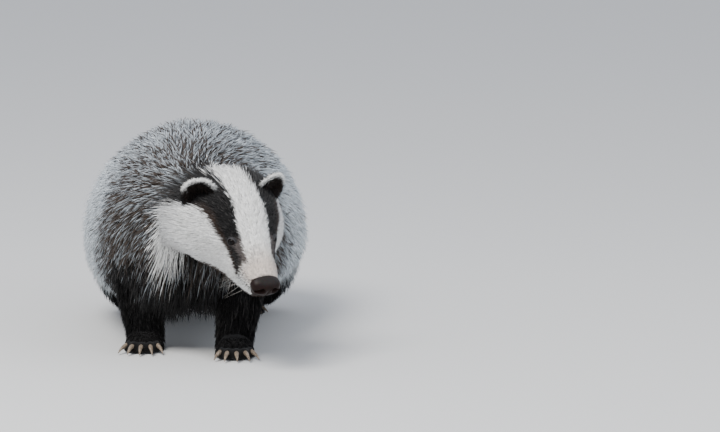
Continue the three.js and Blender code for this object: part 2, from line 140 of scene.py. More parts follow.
def paint(piece, name, colours):
    """Stores one colour for each point, which a material then reads by that name."""
    values = np.ones((len(piece.data.vertices), 4), np.float32)
    values[:, :3] = colours
    piece.data.color_attributes.new(name, "FLOAT_COLOR", "POINT").data.foreach_set("color", values.ravel())


def points_of(piece):
    """The points of a piece in millimetres of the animal."""
    flat = np.empty(len(piece.data.vertices) * 3, np.float32)
    piece.data.vertices.foreach_get("co", flat)
    return flat.reshape(-1, 3).astype(float) / MM - SHIFT


def grid_faces(rows, columns, wrap=True):
    """Quads between the rows of a grid of points, joined round when wrap is true."""
    last = columns if wrap else columns - 1
    r, c = np.meshgrid(np.arange(rows - 1), np.arange(last), indexing="ij")
    near, far = r * columns, (r + 1) * columns
    after = (c + 1) % columns
    return np.stack([near + c, near + after, far + after, far + c], -1).reshape(-1, 4)


# %% [markdown]
# ## The shape under the coat
# Rump, trunk, neck and head are one long loft: eighteen cross-sections, with a smooth curve
# read between them. The same numbers made the solids, so the skin fits them from every side.
# A section has a half-width and a reach up and down, and it is a superellipse: an ellipse
# whose power is a little over 2, which fills its corners as flesh does.

# %% The long loft of the spine
def station(at, heading, reach, coat, taper, square):
    """One section: its middle, its yaw, pitch and roll, its half-width and reach up and down, the
    coat's depth on back, side and belly, how it narrows upwards, and its powers above and below."""
    return [*at, *heading, *reach, *coat, taper, *square]


def trunk(y, z, half, up, down, coat):
    """A level section of rump or trunk. It rolls a little, as the body leans in its stride."""
    lean = -4 if y > 20 else -2
    return station([0, y, z], [0, 0, lean], [half, up, down], coat, 0, [1.9, 2.9])


def head(forward, up, reach, coat, taper):
    """A section of the head, square to the way the head points."""
    return station(on_head(0, forward, up), [27, 31, 0], reach, coat, taper, [2.15, 2.4])


SPINE = np.array(
    [
        trunk(324, 122, 32, 30, 30, [24, 24, 20]),
        trunk(306, 114, 70, 62, 52, [28, 28, 22]),
        trunk(270, 102, 102, 92, 62, [30, 28, 20]),
        trunk(220, 95, 115, 112, 60, [30, 28, 14]),
        trunk(165, 94, 114, 114, 58, [30, 27, 12]),
        trunk(105, 96, 105, 110, 56, [28, 26, 12]),
        trunk(50, 101, 94, 100, 58, [27, 24, 13]),
        trunk(4, 110, 84, 87, 62, [25, 22, 15]),
        station([8, -34, 126], [9, 12, 0], [72, 67, 64], [21, 21, 16], 0.05, [2, 2.5]),
        station([24, -61, 140], [20, 24, 0], [62, 51, 58], [16, 19, 14], 0.08, [2, 2.5]),
        head(-18, -22, [59, 40, 42], [10, 16, 12], 0.16),
        head(6, -21, [57, 43, 40], [7, 12, 9], 0.2),
        head(26, -20, [50, 41, 40], [6, 9, 7], 0.2),
        head(42, -20, [38, 33, 38], [5, 6, 6], 0.16),
        head(56, -21, [28, 25, 35], [4, 4, 5], 0.16),
        head(72, -25, [21.5, 19.5, 29], [3.5, 3.5, 4], 0.14),
        head(87, -28, [18, 15.5, 22], [3, 3, 3], 0.08),
        head(97, -30, [14.5, 11.5, 17], [2, 2, 2.5], 0),
    ],
    float,
)


def along(stations, u):
    """A row of numbers at each u, from 0 at the first station to 1 at the last: the Catmull-Rom
    curve through the four stations around it."""
    last = len(stations) - 1
    place = np.clip(u, 0, 1) * last
    i = np.minimum(place.astype(int), last - 1)
    a, b, c, d = (stations[np.clip(i + k, 0, last)] for k in (-1, 0, 1, 2))
    t = (place - i)[..., None]
    return 0.5 * (2 * b + (c - a) * t + (2 * a - 5 * b + 4 * c - d) * t**2 + (3 * b - a - 3 * c + d) * t**3)


def turn_xy(x, y, angle):
    """x and y turned by an angle each."""
    c, s = np.cos(angle), np.sin(angle)
    return c * x - s * y, s * x + c * y


def eye_frame(side):
    """The turn whose third axis looks out of an eye, and the eye's centre."""
    turn = turn_about("Z", side * math.radians(EYE["yaw"])) @ turn_about("X", math.radians(90 - EYE["rise"]))
    return HEAD_TURN @ turn, on_head(side * EYE["side"], EYE["forward"], EYE["up"])


def spine_point(u, angle, depth=0.0, grow=0.0):
    """The point of the body at u, 0 at the rump and 1 at the nose, and an angle round it, 0 at its
    left and 90 degrees on its back. Width and height are powers of the angle's cosine and sine,
    less depth times the coat, then turned by the section's roll, pitch and yaw. Round each eye the
    surface stands out by a bell curve of the distance, as the rim of the eye socket does."""
    u, angle, depth = np.broadcast_arrays(np.asarray(u, float), angle, depth)
    m = along(SPINE, u)
    c, n = np.cos(angle), np.sin(angle)
    above = n > 0
    power = 2 / np.where(above, m[..., 13], m[..., 14])
    wide = m[..., 6] - depth * m[..., 10] + grow
    tall = np.where(above, m[..., 7] - depth * m[..., 9], m[..., 8] - depth * m[..., 11]) + grow
    x = wide * np.sign(c) * np.abs(c) ** power * (1 - m[..., 12] * n)
    z = tall * np.sign(n) * np.abs(n) ** power
    yaw, pitch, roll = (np.radians(m[..., k]) for k in (3, 4, 5))
    z, x = turn_xy(z, x, roll)
    y, z = turn_xy(np.zeros_like(z), z, pitch)
    x, y = turn_xy(x, y, yaw)
    points = np.stack([x, y, z], -1) + m[..., :3]
    for side in (1, -1):
        turn, centre = eye_frame(side)
        off = np.linalg.norm(points - centre, axis=-1, keepdims=True)
        points = points + 1.9 * np.exp(-((off / 8.5) ** 4)) * turn[:, 2]
    return points


print("nose tip at", spine_point(1.0, math.pi / 2).round(1), "mm")
print("back at", spine_point(0.24, math.pi / 2).round(1), "mm")

# %% [markdown]
# Under their fur the legs are short columns, so level ellipses at six heights describe them, and
# the stride pushes the lower ones forward or back. The tail is a row of circles round a bent line.
# Extruding a cage by hand would give the same shapes, but a function also says where fur can
# grow, how deep the coat is there and which way it lies.

# %% Legs and tail
FORE_LEG = np.array(
    [[112, 50, 16, 26, 30, 16], [80, 52, 10, 26, 29, 14], [58, 50, 4, 24, 25, 11], [38, 48, 0, 22, 21, 8],
     [22, 46, -2, 20, 19, 5], [10, 45, -6, 19, 20, 3]], float)
HIND_LEG = np.array(
    [[112, 60, -2, 42, 52, 20], [82, 61, 0, 41, 48, 18], [58, 61, 6, 44, 42, 15], [38, 60, 14, 42, 36, 12],
     [22, 56, 14, 36, 29, 8], [10, 51, 10, 27, 24, 5]], float)
FORE_FOOT = {"palm": [19, 21, 17], "at": [0, -4, 8], "toe": [5.2, 10.5, 7.2], "spread": 13,
             "reach": [25, 29.5, 31, 29.5, 25], "claw": 18, "thick": 2.5}
HIND_FOOT = {"palm": [17, 30, 15], "at": [0, 2, 7], "toe": [4.6, 9, 6.6], "spread": 14,
             "reach": [25, 29, 30.5, 29, 25], "claw": 11, "thick": 2.0}
LEGS = {
    "front_left": {"side": 1, "y": 4, "stride": -28, "sections": FORE_LEG, "foot": FORE_FOOT, "turn": 4},
    "front_right": {"side": -1, "y": 4, "stride": 16, "sections": FORE_LEG, "foot": FORE_FOOT, "turn": 4},
    "hind_left": {"side": 1, "y": 222, "stride": 22, "sections": HIND_LEG, "foot": HIND_FOOT, "turn": 10},
    "hind_right": {"side": -1, "y": 222, "stride": -24, "sections": HIND_LEG, "foot": HIND_FOOT, "turn": 10},
}
TAIL = np.array(
    [[292, 136, 15, 6], [322, 128, 19, 8], [348, 108, 21, 11], [366, 82, 18, 11], [376, 58, 8, 6]], float)
TOE_SINK = 1.4
CLAW_BEND = math.radians(38)


def leg_point(leg, u, angle, depth=0.0):
    """A point of a leg: a level ellipse at each height, which leans with the stride as it falls."""
    u, angle, depth = np.broadcast_arrays(np.asarray(u, float), angle, depth)
    m = along(leg["sections"], u)
    lean = np.clip(1 - m[..., 0] / leg["sections"][0, 0], 0, 1)
    cover = -depth * m[..., 5]
    x = leg["side"] * m[..., 1] + (m[..., 3] + cover) * np.cos(angle)
    y = leg["y"] + m[..., 2] + leg["stride"] * lean - (m[..., 4] + cover) * np.sin(angle)
    return np.stack([x, y, m[..., 0]], -1)


def tail_point(u, angle, depth=0.0):
    """A point of the tail: a circle round a line in the middle plane, square to that line."""
    u, angle, depth = np.broadcast_arrays(np.asarray(u, float), angle, depth)
    m, before, after = along(TAIL, u), along(TAIL, u - 0.01), along(TAIL, u + 0.01)
    lean = np.arctan2(after[..., 1] - before[..., 1], after[..., 0] - before[..., 0])
    radius = m[..., 2] - depth * m[..., 3]
    y, z = turn_xy(np.zeros_like(radius), radius * np.sin(angle), lean)
    return np.stack([radius * np.cos(angle), y + m[..., 0], z + m[..., 1]], -1)


def foot_frame(leg):
    """The turn and the place of a foot on the floor, under the lowest section of its leg."""
    low = leg_point(leg, 1.0, np.array([0, math.pi])).mean(0)
    return turn_about("Z", math.radians(leg["side"] * leg["turn"])), np.array([low[0], low[1], 0.0])


print("soles stand at", {name: foot_frame(leg)[1].round(0).tolist() for name, leg in LEGS.items()})

# %% [markdown]
# The ears of a badger are small, round and set low at the sides of the skull. Each is a bowl with
# a soft rim: a profile that runs down the outside, round the rim and back up the inside,
# swept round an ellipse. Doing the wall in the profile gives a rim of even thickness, which
# a carved ellipsoid wouldn't have.

# %% Ears as swept bowls
EAR = {"side": 37.0, "forward": -2.0, "up": 5.0, "half": [14.6, 6.2, 17.0], "turn": [-14, 34, 22],
       "wall": 3.0}


def ear_frame(side):
    """The turn of an ear's own frame in the head's, and its place there."""
    x, y, z = (math.radians(v) for v in (EAR["turn"][0], side * EAR["turn"][1], side * EAR["turn"][2]))
    turn = turn_about("X", x) @ turn_about("Y", y) @ turn_about("Z", z)
    return turn, np.array([side * EAR["side"], -EAR["forward"], EAR["up"]])


def ear_point(side, s, angle, lift=0.0):
    """A point of an ear: s runs from the middle of its back, 0, over the rim, 0.5, to the middle
    of its cup, 1. The wall follows a quarter ellipse, and its two faces lie half a wall away."""
    s, angle, lift = np.broadcast_arrays(np.asarray(s, float), angle, lift)
    q = np.clip(np.where(s < 0.5, s / 0.46, (1 - s) / 0.46), 0, 1) * math.pi / 2
    rim = smooth(s, 0.46, 0.54) * math.pi
    side_out = np.cos(rim) * (EAR["wall"] / 2 + lift)
    bulge = np.sin(rim) * (EAR["wall"] / 2 + lift)
    rise = EAR["half"][1] * np.cos(q) + side_out * np.cos(q) - bulge * 0.6
    reach = np.sin(q)
    wide = (EAR["half"][0] - EAR["wall"] / 2) * reach + side_out * np.sin(q) + bulge
    tall = (EAR["half"][2] - EAR["wall"] / 2) * reach + side_out * np.sin(q) + bulge
    local = np.stack([wide * np.cos(angle), rise, tall * np.sin(angle)], -1)
    turn, at = ear_frame(side)
    inner = local @ turn.T + at
    return on_head(inner[..., 0], -inner[..., 1], inner[..., 2])


# %% [markdown]
# ## One skin
# Trunk, legs, paws and ears overlap as separate shapes. A voxel remesh turns them into one
# closed surface, as clay pressed together, and a little smoothing rounds the creases.
# A Boolean union would keep hard seams where the legs join. The skin lies below the tips of
# the coat: half the coat's depth on the body, and more on the face, whose fur is short.

# %% Build the skin
VOXEL = 2.3 * MM


def spine_depth(u):
    """How far below the tips the skin lies: half the coat on the body, 0.7 of it on the face."""
    return 0.5 + 0.2 * smooth(u, 0.58, 0.72)


def leg_depth(u):
    """Half the coat at the top of a leg and 0.8 of it at the foot."""
    return 0.5 + 0.3 * smooth(u, 0.4, 0.9)


def loft_parts(point, us, sides):
    """Points and faces of a surface point(u, angle), closed by a fan at both ends."""
    angles = np.linspace(0, 2 * math.pi, sides, endpoint=False)
    grid = point(us[:, None], angles[None, :])
    rows = len(us)
    points = np.concatenate([grid.reshape(-1, 3), grid[:1].mean(1), grid[-1:].mean(1)])
    faces = grid_faces(rows, sides)
    k = np.arange(sides)
    after = (k + 1) % sides
    first = np.stack([np.full(sides, rows * sides), after, k, k], -1)
    end = (rows - 1) * sides
    last = np.stack([np.full(sides, rows * sides + 1), end + k, end + after], -1)
    triangles = np.concatenate([first[:, :3], last, faces[:, [0, 1, 2]], faces[:, [0, 2, 3]]])
    return points, triangles


def ball_parts(half, at, turn, place, sides=24, rings=14):
    """Points and faces of an ellipsoid: cosine and sine of two angles times its half sizes."""
    polar = np.linspace(0, math.pi, rings)[1:-1]

    def point(v, angle):
        """A point at a polar angle from the top and an angle round the upright axis."""
        x, y, z = np.sin(v) * np.cos(angle), np.sin(v) * np.sin(angle), np.cos(v) + 0 * angle
        return (np.stack([x, y, z], -1) * half + at) @ turn.T + place

    return loft_parts(point, polar, sides)


parts = [
    loft_parts(lambda u, a: spine_point(u, a, spine_depth(u)), np.linspace(0, 1, 220), 120),
    loft_parts(lambda u, a: tail_point(u, a, 0.5), np.linspace(0, 1, 40), 32),
]
for leg in LEGS.values():
    parts.append(loft_parts(lambda u, a: leg_point(leg, u, a, leg_depth(u)), np.linspace(0, 1, 40), 40))
    turn, place = foot_frame(leg)
    foot = leg["foot"]
    parts.append(ball_parts(np.array(foot["palm"]) - 1.5, foot["at"], turn, place))
    for i, reach in enumerate(foot["reach"]):
        fan = turn @ turn_about("Z", math.radians(leg["side"] * (i - 2) * foot["spread"]))
        at = [0, foot["at"][1] - reach, foot["toe"][2] - TOE_SINK]
        parts.append(ball_parts(np.array(foot["toe"]) - 0.4, at, fan, place))
for side in (1, -1):
    parts.append(loft_parts(lambda s, a: ear_point(side, s, a), np.linspace(0.01, 0.99, 60), 60))

offsets = np.cumsum([0] + [len(points) for points, _ in parts[:-1]])
skin_points = np.concatenate([points for points, _ in parts])
skin_faces = np.concatenate([faces + start for (_, faces), start in zip(parts, offsets)])
skin_points[:, 2] = np.maximum(skin_points[:, 2], 0.2)
skin = make_mesh("skin", skin_points, skin_faces)


def apply_modifiers(piece):
    """Puts the result of a piece's modifiers in its mesh and removes them."""
    seen = piece.evaluated_get(bpy.context.evaluated_depsgraph_get())
    mesh = bpy.data.meshes.new_from_object(seen)
    piece.modifiers.clear()
    piece.data = mesh
    piece.data.name = piece.name


remesh = skin.modifiers.new("join", "REMESH")
remesh.mode = "VOXEL"
remesh.voxel_size = VOXEL
remesh.use_smooth_shade = True
relax = skin.modifiers.new("round", "SMOOTH")
relax.factor = 0.5
relax.iterations = 3
apply_modifiers(skin)
print("skin:", len(skin.data.vertices), "points,", len(skin.data.polygons), "faces")

# %% [markdown]
# ## The markings
# A badger's face is read in one glance: a white blaze between two black bands that run from
# the nose through the eyes and over the ears, and white cheeks. They follow the form of the head,
# so they are drawn as angles round the head's axis that change with the way forward.
# Skin and fur call the same function, so that the two can't drift apart.

# %% Where each colour lies
WHITE = np.array([0.93, 0.925, 0.90])
CREAM = np.array([0.66, 0.55, 0.47])
BLACK = np.array([0.0045, 0.0040, 0.0040])
BROWN = np.array([0.040, 0.023, 0.015])
ASH = np.array([0.115, 0.098, 0.092])
BUFF = np.array([0.40, 0.37, 0.34])
FROST = np.array([0.81, 0.89, 0.95])
SMOKE = np.array([0.024, 0.0185, 0.0150])
AXIS_UP = ([-60, -18, 6, 26, 42, 56, 72, 87, 97], [-24, -22, -21, -20, -20, -21, -25, -28, -30])
BLAZE_EDGE = ([-40, -20, 0, 27, 41, 52, 65, 82, 95], [73, 71, 70, 69, 63, 55, 47, 42, 38])
BAND_EDGE = ([-40, -23, 1, 15, 31, 42, 52, 62, 72, 80], [-8, -4, 15, 30, 31, 24, 15, 8, -9, -26])
JAW_EDGE = ([-25, 10, 25, 40, 52, 65, 97], [-57, -54, -46, -37, -42, -50, -58])
PLAN_Y = [-110, -90, -70, -50, -30, 0, 50]
PLAN_X = [56, 47, 40, 36, 34, 32, 26]


def head_angle(points):
    """Forward on the head, the angle in degrees above its axis, 90 on its top and -90 below, and up."""
    side, forward, up = to_head(points)
    middle = np.interp(forward, *AXIS_UP)
    return forward, np.degrees(np.arctan2(up - middle, np.abs(side))), up


def markings(points):
    """Shares of white, black, brown, ash and cream at each point, and the lightness of the grizzled
    coat where none of them lies. Each share is a product of smooth steps across its edges."""
    forward, angle, up = head_angle(points)
    x, y, z = points.T
    on_face = smooth(forward, -34, -20) * smooth(up, -82, -68)
    blaze = smooth(angle, np.interp(forward, *BLAZE_EDGE) - 3, np.interp(forward, *BLAZE_EDGE) + 3)
    below = 1 - smooth(angle, np.interp(forward, *BAND_EDGE) - 3, np.interp(forward, *BAND_EDGE) + 3)
    jaw = 1 - smooth(angle, np.interp(forward, *JAW_EDGE) - 5, np.interp(forward, *JAW_EDGE) + 3)
    tip = smooth(forward, 73, 84)
    cheek = below * (1 - jaw) * smooth(forward, -32, -18)
    white = on_face * np.maximum(blaze, np.maximum(cheek, tip * (1 - jaw)))
    spots = smooth(np.sin(1.1 * forward + 0.7 * up) * np.sin(1.3 * up - 0.8 * forward + 1), 0.05, 0.5)
    mottle = 0.8 * spots * smooth(forward, 72, 80) * smooth(angle, -34, -22) * (1 - smooth(angle, 14, 30))
    white = white * (1 - mottle)
    behind = (1 - smooth(forward, -16, -2)) * (1 - smooth(angle, 46, 62))
    black = on_face * (1 - white) * (1 - blaze) * (1 - 0.48 * behind)

    lateral = np.abs(x - np.interp(y, PLAN_Y, PLAN_X))
    nape = smooth(z, 148, 160) * (1 - on_face)
    blaze_back = nape * (1 - smooth(lateral, 9, 14)) * (1 - smooth(y, -30, 30))
    band_back = nape * smooth(lateral, 9, 14) * (1 - smooth(lateral, 24, 46)) * (1 - smooth(y, -44, 32))
    band_back = band_back * (1 - 0.45 * smooth(lateral, 16, 32))
    white = np.maximum(white, blaze_back)
    black = np.maximum(black, band_back)

    hem = np.interp(y, [-60, 0, 45, 100, 240, 300], [104, 98, 78, 48, 40, 62])
    under = (1 - smooth(z, hem - 14, hem + 14)) * (1 - on_face)
    throat = (1 - smooth(y, -52, -22)) * (1 - smooth(z, 84, 112)) * (1 - on_face)
    black = np.maximum(black, np.maximum(under, throat) * (1 - white))

    over_edge = angle - np.interp(forward, *BAND_EDGE)
    brown = black * on_face * (1 - smooth(over_edge, 2, 13)) * smooth(forward, 5, 25)
    brown = np.maximum(brown, 0.2 * band_back * smooth(y, -62, -36))
    ash = black * smooth(forward, 53, 61) * smooth(angle, 22, 32) * (1 - 0.4 * smooth(forward, 74, 82))
    cream = white * smooth(forward, 60, 90) * smooth(angle, -20, 20)
    flank = smooth(y, 22, 125) * (1 - 0.72 * smooth(z, 130, 185))
    light = 0.02 + 0.20 * smooth(z, 125, 170) + 1.15 * flank
    return {"white": white, "black": black, "brown": brown, "ash": ash, "cream": cream, "light": light}


def pad_square(points):
    """The square of the distance from the nose pad's middle, in shares of the pad's half sizes."""
    side, forward, up = to_head(points)
    return (side / 15.5) ** 2 + ((forward - 99) / 9.2) ** 2 + ((up + 29.5) / 10) ** 2


def mixed(base, over, share):
    """base with a share of over laid on it, for each point."""
    return base + (over - base) * np.asarray(share)[..., None]


def laid(marks, grizzle):
    """The markings laid over the colour of the grizzled coat."""
    colour = mixed(grizzle, WHITE, marks["white"])
    colour = mixed(colour, BLACK, marks["black"])
    colour = mixed(colour, BROWN, marks["brown"])
    colour = mixed(colour, ASH, marks["ash"])
    return mixed(colour, CREAM, 0.75 * marks["cream"])


skin_marks = markings(points_of(skin))
skin_base = mixed(BUFF * 0.16, BUFF, skin_marks["light"])
# Painted shade: the skin takes 0.8 of the markings' colour, darker as the shade under the tufts.
skin_colour = laid(skin_marks, skin_base) * 0.8
print("share of the skin that is black:", round(float(skin_marks["black"].mean()), 2))

# %% [markdown]
# ## Materials
# Fur takes its colour from the attribute that the markings wrote, with a fine noise on it so that
# no two tufts match. Hair is matt along its length with a faint sheen. The nose is wet-looking
# leather, so it has small cells for its pebbles and a low roughness. Each number that is the same
# all over sits on the shader itself.

# %% Node helpers and the materials of skin and coat
def new_material(name, roughness, specular=0.3, sheen=0.0):
    """An empty principled material and the parts that a finish needs to build on."""
    material = bpy.data.materials.new(name)
    material.use_nodes = True
    nodes = material.node_tree.nodes
    shader = nodes["Principled BSDF"]
    shader.inputs["Roughness"].default_value = roughness
    shader.inputs["Specular IOR Level"].default_value = specular
    shader.inputs["Sheen Weight"].default_value = sheen
    return material, nodes, material.node_tree.links, shader


def add_node(nodes, kind, **values):
    """A node of a kind, with values set on its sockets or on itself."""
    node = nodes.new(kind)
    for key, value in values.items():
        if key in node.inputs:
            node.inputs[key].default_value = value
        else:
            setattr(node, key, value)
    return node


def ranged(nodes, **ends):
    """A map range node with its ends set: From_Min, From_Max, To_Min and To_Max."""
    ramp = nodes.new("ShaderNodeMapRange")
    for key, value in ends.items():
        ramp.inputs[key.replace("_", " ")].default_value = value
    return ramp


def relief_from(nodes, links, shader, height, strength, distance):
    """Bumps the shader by the height that a socket gives."""
    relief = add_node(nodes, "ShaderNodeBump", Strength=strength, Distance=distance)
    links.new(height, relief.inputs["Height"])
    links.new(relief.outputs["Normal"], shader.inputs["Normal"])


def textures(nodes, links, *kinds):
    """Texture nodes, each given as its kind and its values, that all read Object coordinates."""
    where = add_node(nodes, "ShaderNodeTexCoord")
    made = [add_node(nodes, "ShaderNodeTex" + kind, **values) for kind, values in kinds]
    for texture in made:
        links.new(where.outputs["Object"], texture.inputs["Vector"])
    return made


def multiplied(nodes, links, first, second, factor):
    """The socket of one colour multiplied by a share of another."""
    tint = add_node(nodes, "ShaderNodeMix", data_type="RGBA", blend_type="MULTIPLY")
    tint.inputs["Factor"].default_value = factor
    links.new(first, tint.inputs["A"])
    links.new(second, tint.inputs["B"])
    return tint.outputs["Result"]


def fur_material(name, noise_scale, spread, roughness, sheen, bump=0.0):
    """Fur: the painted colour times a noise between 1 - spread and 1 + spread, with a bump if asked."""
    material, nodes, links, shader = new_material(name, roughness, 0.10, sheen)
    colour = add_node(nodes, "ShaderNodeAttribute", attribute_name="coat_colour")
    (noise,) = textures(nodes, links, ("Noise", {"Scale": noise_scale, "Detail": 3.0}))
    ramp = ranged(nodes, From_Min=0.3, From_Max=0.7, To_Min=1 - spread, To_Max=1 + spread)
    scale = add_node(nodes, "ShaderNodeVectorMath", operation="SCALE")
    links.new(noise.outputs["Fac"], ramp.inputs["Value"])
    links.new(colour.outputs["Color"], scale.inputs[0])
    links.new(ramp.outputs["Result"], scale.inputs["Scale"])
    links.new(scale.outputs["Vector"], shader.inputs["Base Color"])
    if bump:
        (hair,) = textures(nodes, links, ("Noise", {"Scale": 900.0, "Detail": 2.0}))
        relief_from(nodes, links, shader, hair.outputs["Fac"], bump, 0.0006)
    return material


skin_material = fur_material("short underfur", 260.0, 0.25, 0.85, 0.1, bump=0.7)
body_material = fur_material("long grizzled coat", 160.0, 0.14, 0.62, 0.05)
face_material = fur_material("short face fur", 300.0, 0.12, 0.62, 0.05)
leg_material = fur_material("black leg fur", 220.0, 0.30, 0.55, 0.03)
skin.data.materials.append(skin_material)
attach(skin, "root")
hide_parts("head", "neck", "torso", "tail", "ear_left", "ear_right",
            *("leg_" + name for name in LEGS), *("foot_" + name for name in LEGS))

# %% [markdown]
# ## Growing the coat
# A tuft is a three-sided spike: two or three small triangles as rings and one point as its tip.
# Its path runs over the body's own surface, from the skin up to the tips of the coat, against
# the way the nose points, and it droops on the flanks. Roots are drawn with a chance that
# follows the area, so that the coat is as thick on the rump as on the neck. Tips lean together
# in clumps, which is what makes fur look like fur and not like a brush.

# %% Roots, clumps and spikes
def scatter(point, count, us, angles, density):
    """count places (u, angle) on a surface, each as likely as its share of area times density."""
    rows, columns = 300, 180
    u = np.linspace(*us, rows + 1)[:, None]
    a = np.linspace(*angles, columns + 1)[None, :]
    grid = point(u, a)
    across, down = grid[:-1, 1:] - grid[:-1, :-1], grid[1:, :-1] - grid[:-1, :-1]
    area = np.linalg.norm(np.cross(across, down), axis=-1)
    weight = area * density((u[:-1] + u[1:]) / 2, (a[:, :-1] + a[:, 1:]) / 2)
    total = np.cumsum(weight.ravel())
    cell = np.minimum(np.searchsorted(total, rng.random(count) * total[-1]), total.size - 1)
    row, column = np.divmod(cell, columns)
    root_u = us[0] + (us[1] - us[0]) * (row + rng.random(count)) / rows
    root_a = angles[0] + (angles[1] - angles[0]) * (column + rng.random(count)) / columns
    return root_u, root_a, float(area.sum())


def clumps(points, size):
    """The nearest of a jittered grid of clump centres to each point, and a random number of that
    clump: Worley noise, where a hash of each cell's place gives the jitter."""
    cell = np.floor(points / size).astype(np.int64)
    best = np.full(len(points), np.inf)
    centre = np.zeros_like(points)
    number = np.zeros(len(points))
    steps = np.stack(np.meshgrid(*[[-1, 0, 1]] * 3, indexing="ij"), -1).reshape(-1, 3)
    for step in steps:
        at = cell + step
        code = at[:, 0] * 73856093 ^ at[:, 1] * 19349663 ^ at[:, 2] * 83492791
        chance = [((code * prime >> 8) % 10007) / 10007 for prime in (1, 31, 577, 7919)]
        spot = (at + np.stack(chance[:3], -1)) * size
        distance = ((spot - points) ** 2).sum(-1)
        nearer = distance < best
        best[nearer], centre[nearer], number[nearer] = distance[nearer], spot[nearer], chance[3][nearer]
    return centre, number


def spikes(paths, normals, widths, tops):
    """Points of three-sided spikes: at each ring a triangle across the path, with its ridge
    outwards, as wide as widths says, and one point at the tip of the path."""
    count, rings = paths.shape[0], paths.shape[1] - 1
    way = unit(np.gradient(paths, axis=1)[:, :-1])
    edge = unit(np.cross(way, normals[:, None, :]))
    ridge = unit(np.cross(edge, way))
    ridge *= np.sign((ridge * normals[:, None, :]).sum(-1, keepdims=True) + 1e-9)
    half = (widths[:, None] * tops[None, :] / 2)[..., None]
    middle = paths[:, :-1]
    ring = np.stack([middle + edge * half, middle + ridge * half * 0.9, middle - edge * half], 2)
    points = np.concatenate([ring.reshape(count, rings * 3, 3), paths[:, -1:]], 1)
    return points


def spike_faces(rings):
    """The triangles of one spike: its root, the bands between its rings, and its tip."""
    faces = [[0, 1, 2]]
    for r in range(rings - 1):
        for k in range(3):
            a, b = r * 3 + k, r * 3 + (k + 1) % 3
            faces += [[a, a + 3, b], [b, a + 3, b + 3]]
    top, last = rings * 3, (rings - 1) * 3
    faces += [[last + k, top, last + (k + 1) % 3] for k in range(3)]
    return np.array(faces)


def coat_piece(name, points, colours, unwrap, material):
    """One mesh of tufts. points is (tufts, corners, 3), colours the same, and unwrap gives each
    root's place on the unwrapped skin, round which its tuft takes a patch of 0.003."""
    count, corners = points.shape[:2]
    rings = (corners - 1) // 3
    one = spike_faces(rings)
    faces = (one[None] + np.arange(count)[:, None, None] * corners).reshape(-1, 3)
    piece = make_mesh(name, points.reshape(-1, 3), faces)
    paint(piece, "coat_colour", np.clip(colours.reshape(-1, 3), 0, 0.95))
    level = np.concatenate([np.repeat(np.arange(rings) / rings, 3), [1.0]])
    corner = np.concatenate([np.tile([0.0, 0.5, 1.0], rings), [0.5]])
    patch = np.stack([corner, level], -1) * 0.003 - 0.0015
    uv = (unwrap[:, None, :] + patch[None]).reshape(-1, 2)
    layer = piece.data.uv_layers.new(name="OFBake")
    laid_out = np.empty(faces.size, np.int32)
    piece.data.loops.foreach_get("vertex_index", laid_out)
    layer.data.foreach_set("uv", uv[laid_out].astype(np.float32).ravel())
    piece.data.materials.append(material)
    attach(piece, "root")
    return piece


INSIDE = 3.0
TRUNK_END = 318


def in_leg(points):
    """True for points inside one of the legs, more than INSIDE under their skin."""
    inside = np.zeros(len(points), bool)
    for leg in LEGS.values():
        sections = leg["sections"]
        heights = sections[::-1, 0]
        x, y, wide, long, coat = (np.interp(points[:, 2], heights, sections[::-1, k]) for k in (1, 2, 3, 4, 5))
        lean = np.clip(1 - points[:, 2] / sections[0, 0], 0, 1)
        u = np.interp(points[:, 2], heights, np.linspace(1, 0, len(heights)))
        off = leg_depth(u) * coat + INSIDE
        dx = (points[:, 0] - leg["side"] * x) / (wide - off)
        dy = (points[:, 1] - leg["y"] - y - leg["stride"] * lean) / (long - off)
        inside |= (dx**2 + dy**2 < 1) & (points[:, 2] < sections[0, 0])
    return inside


def in_trunk(points):
    """True for points inside the trunk or neck, more than INSIDE under its skin."""
    table = np.linspace(0, 0.5, 200)
    m = along(SPINE, table)
    u = np.interp(points[:, 1], m[::-1, 1], table[::-1])
    m = along(SPINE, u)
    x, z = points[:, 0] - m[:, 0], points[:, 2] - m[:, 2]
    depth = spine_depth(u)
    wide = m[:, 6] - depth * m[:, 10] - INSIDE
    tall = np.where(z > 0, m[:, 7] - depth * m[:, 9], m[:, 8] - depth * m[:, 11]) - INSIDE
    power = np.where(z > 0, m[:, 13], m[:, 14])
    return (np.abs(x / wide) ** power + np.abs(z / tall) ** power < 1) & (points[:, 1] < TRUNK_END)
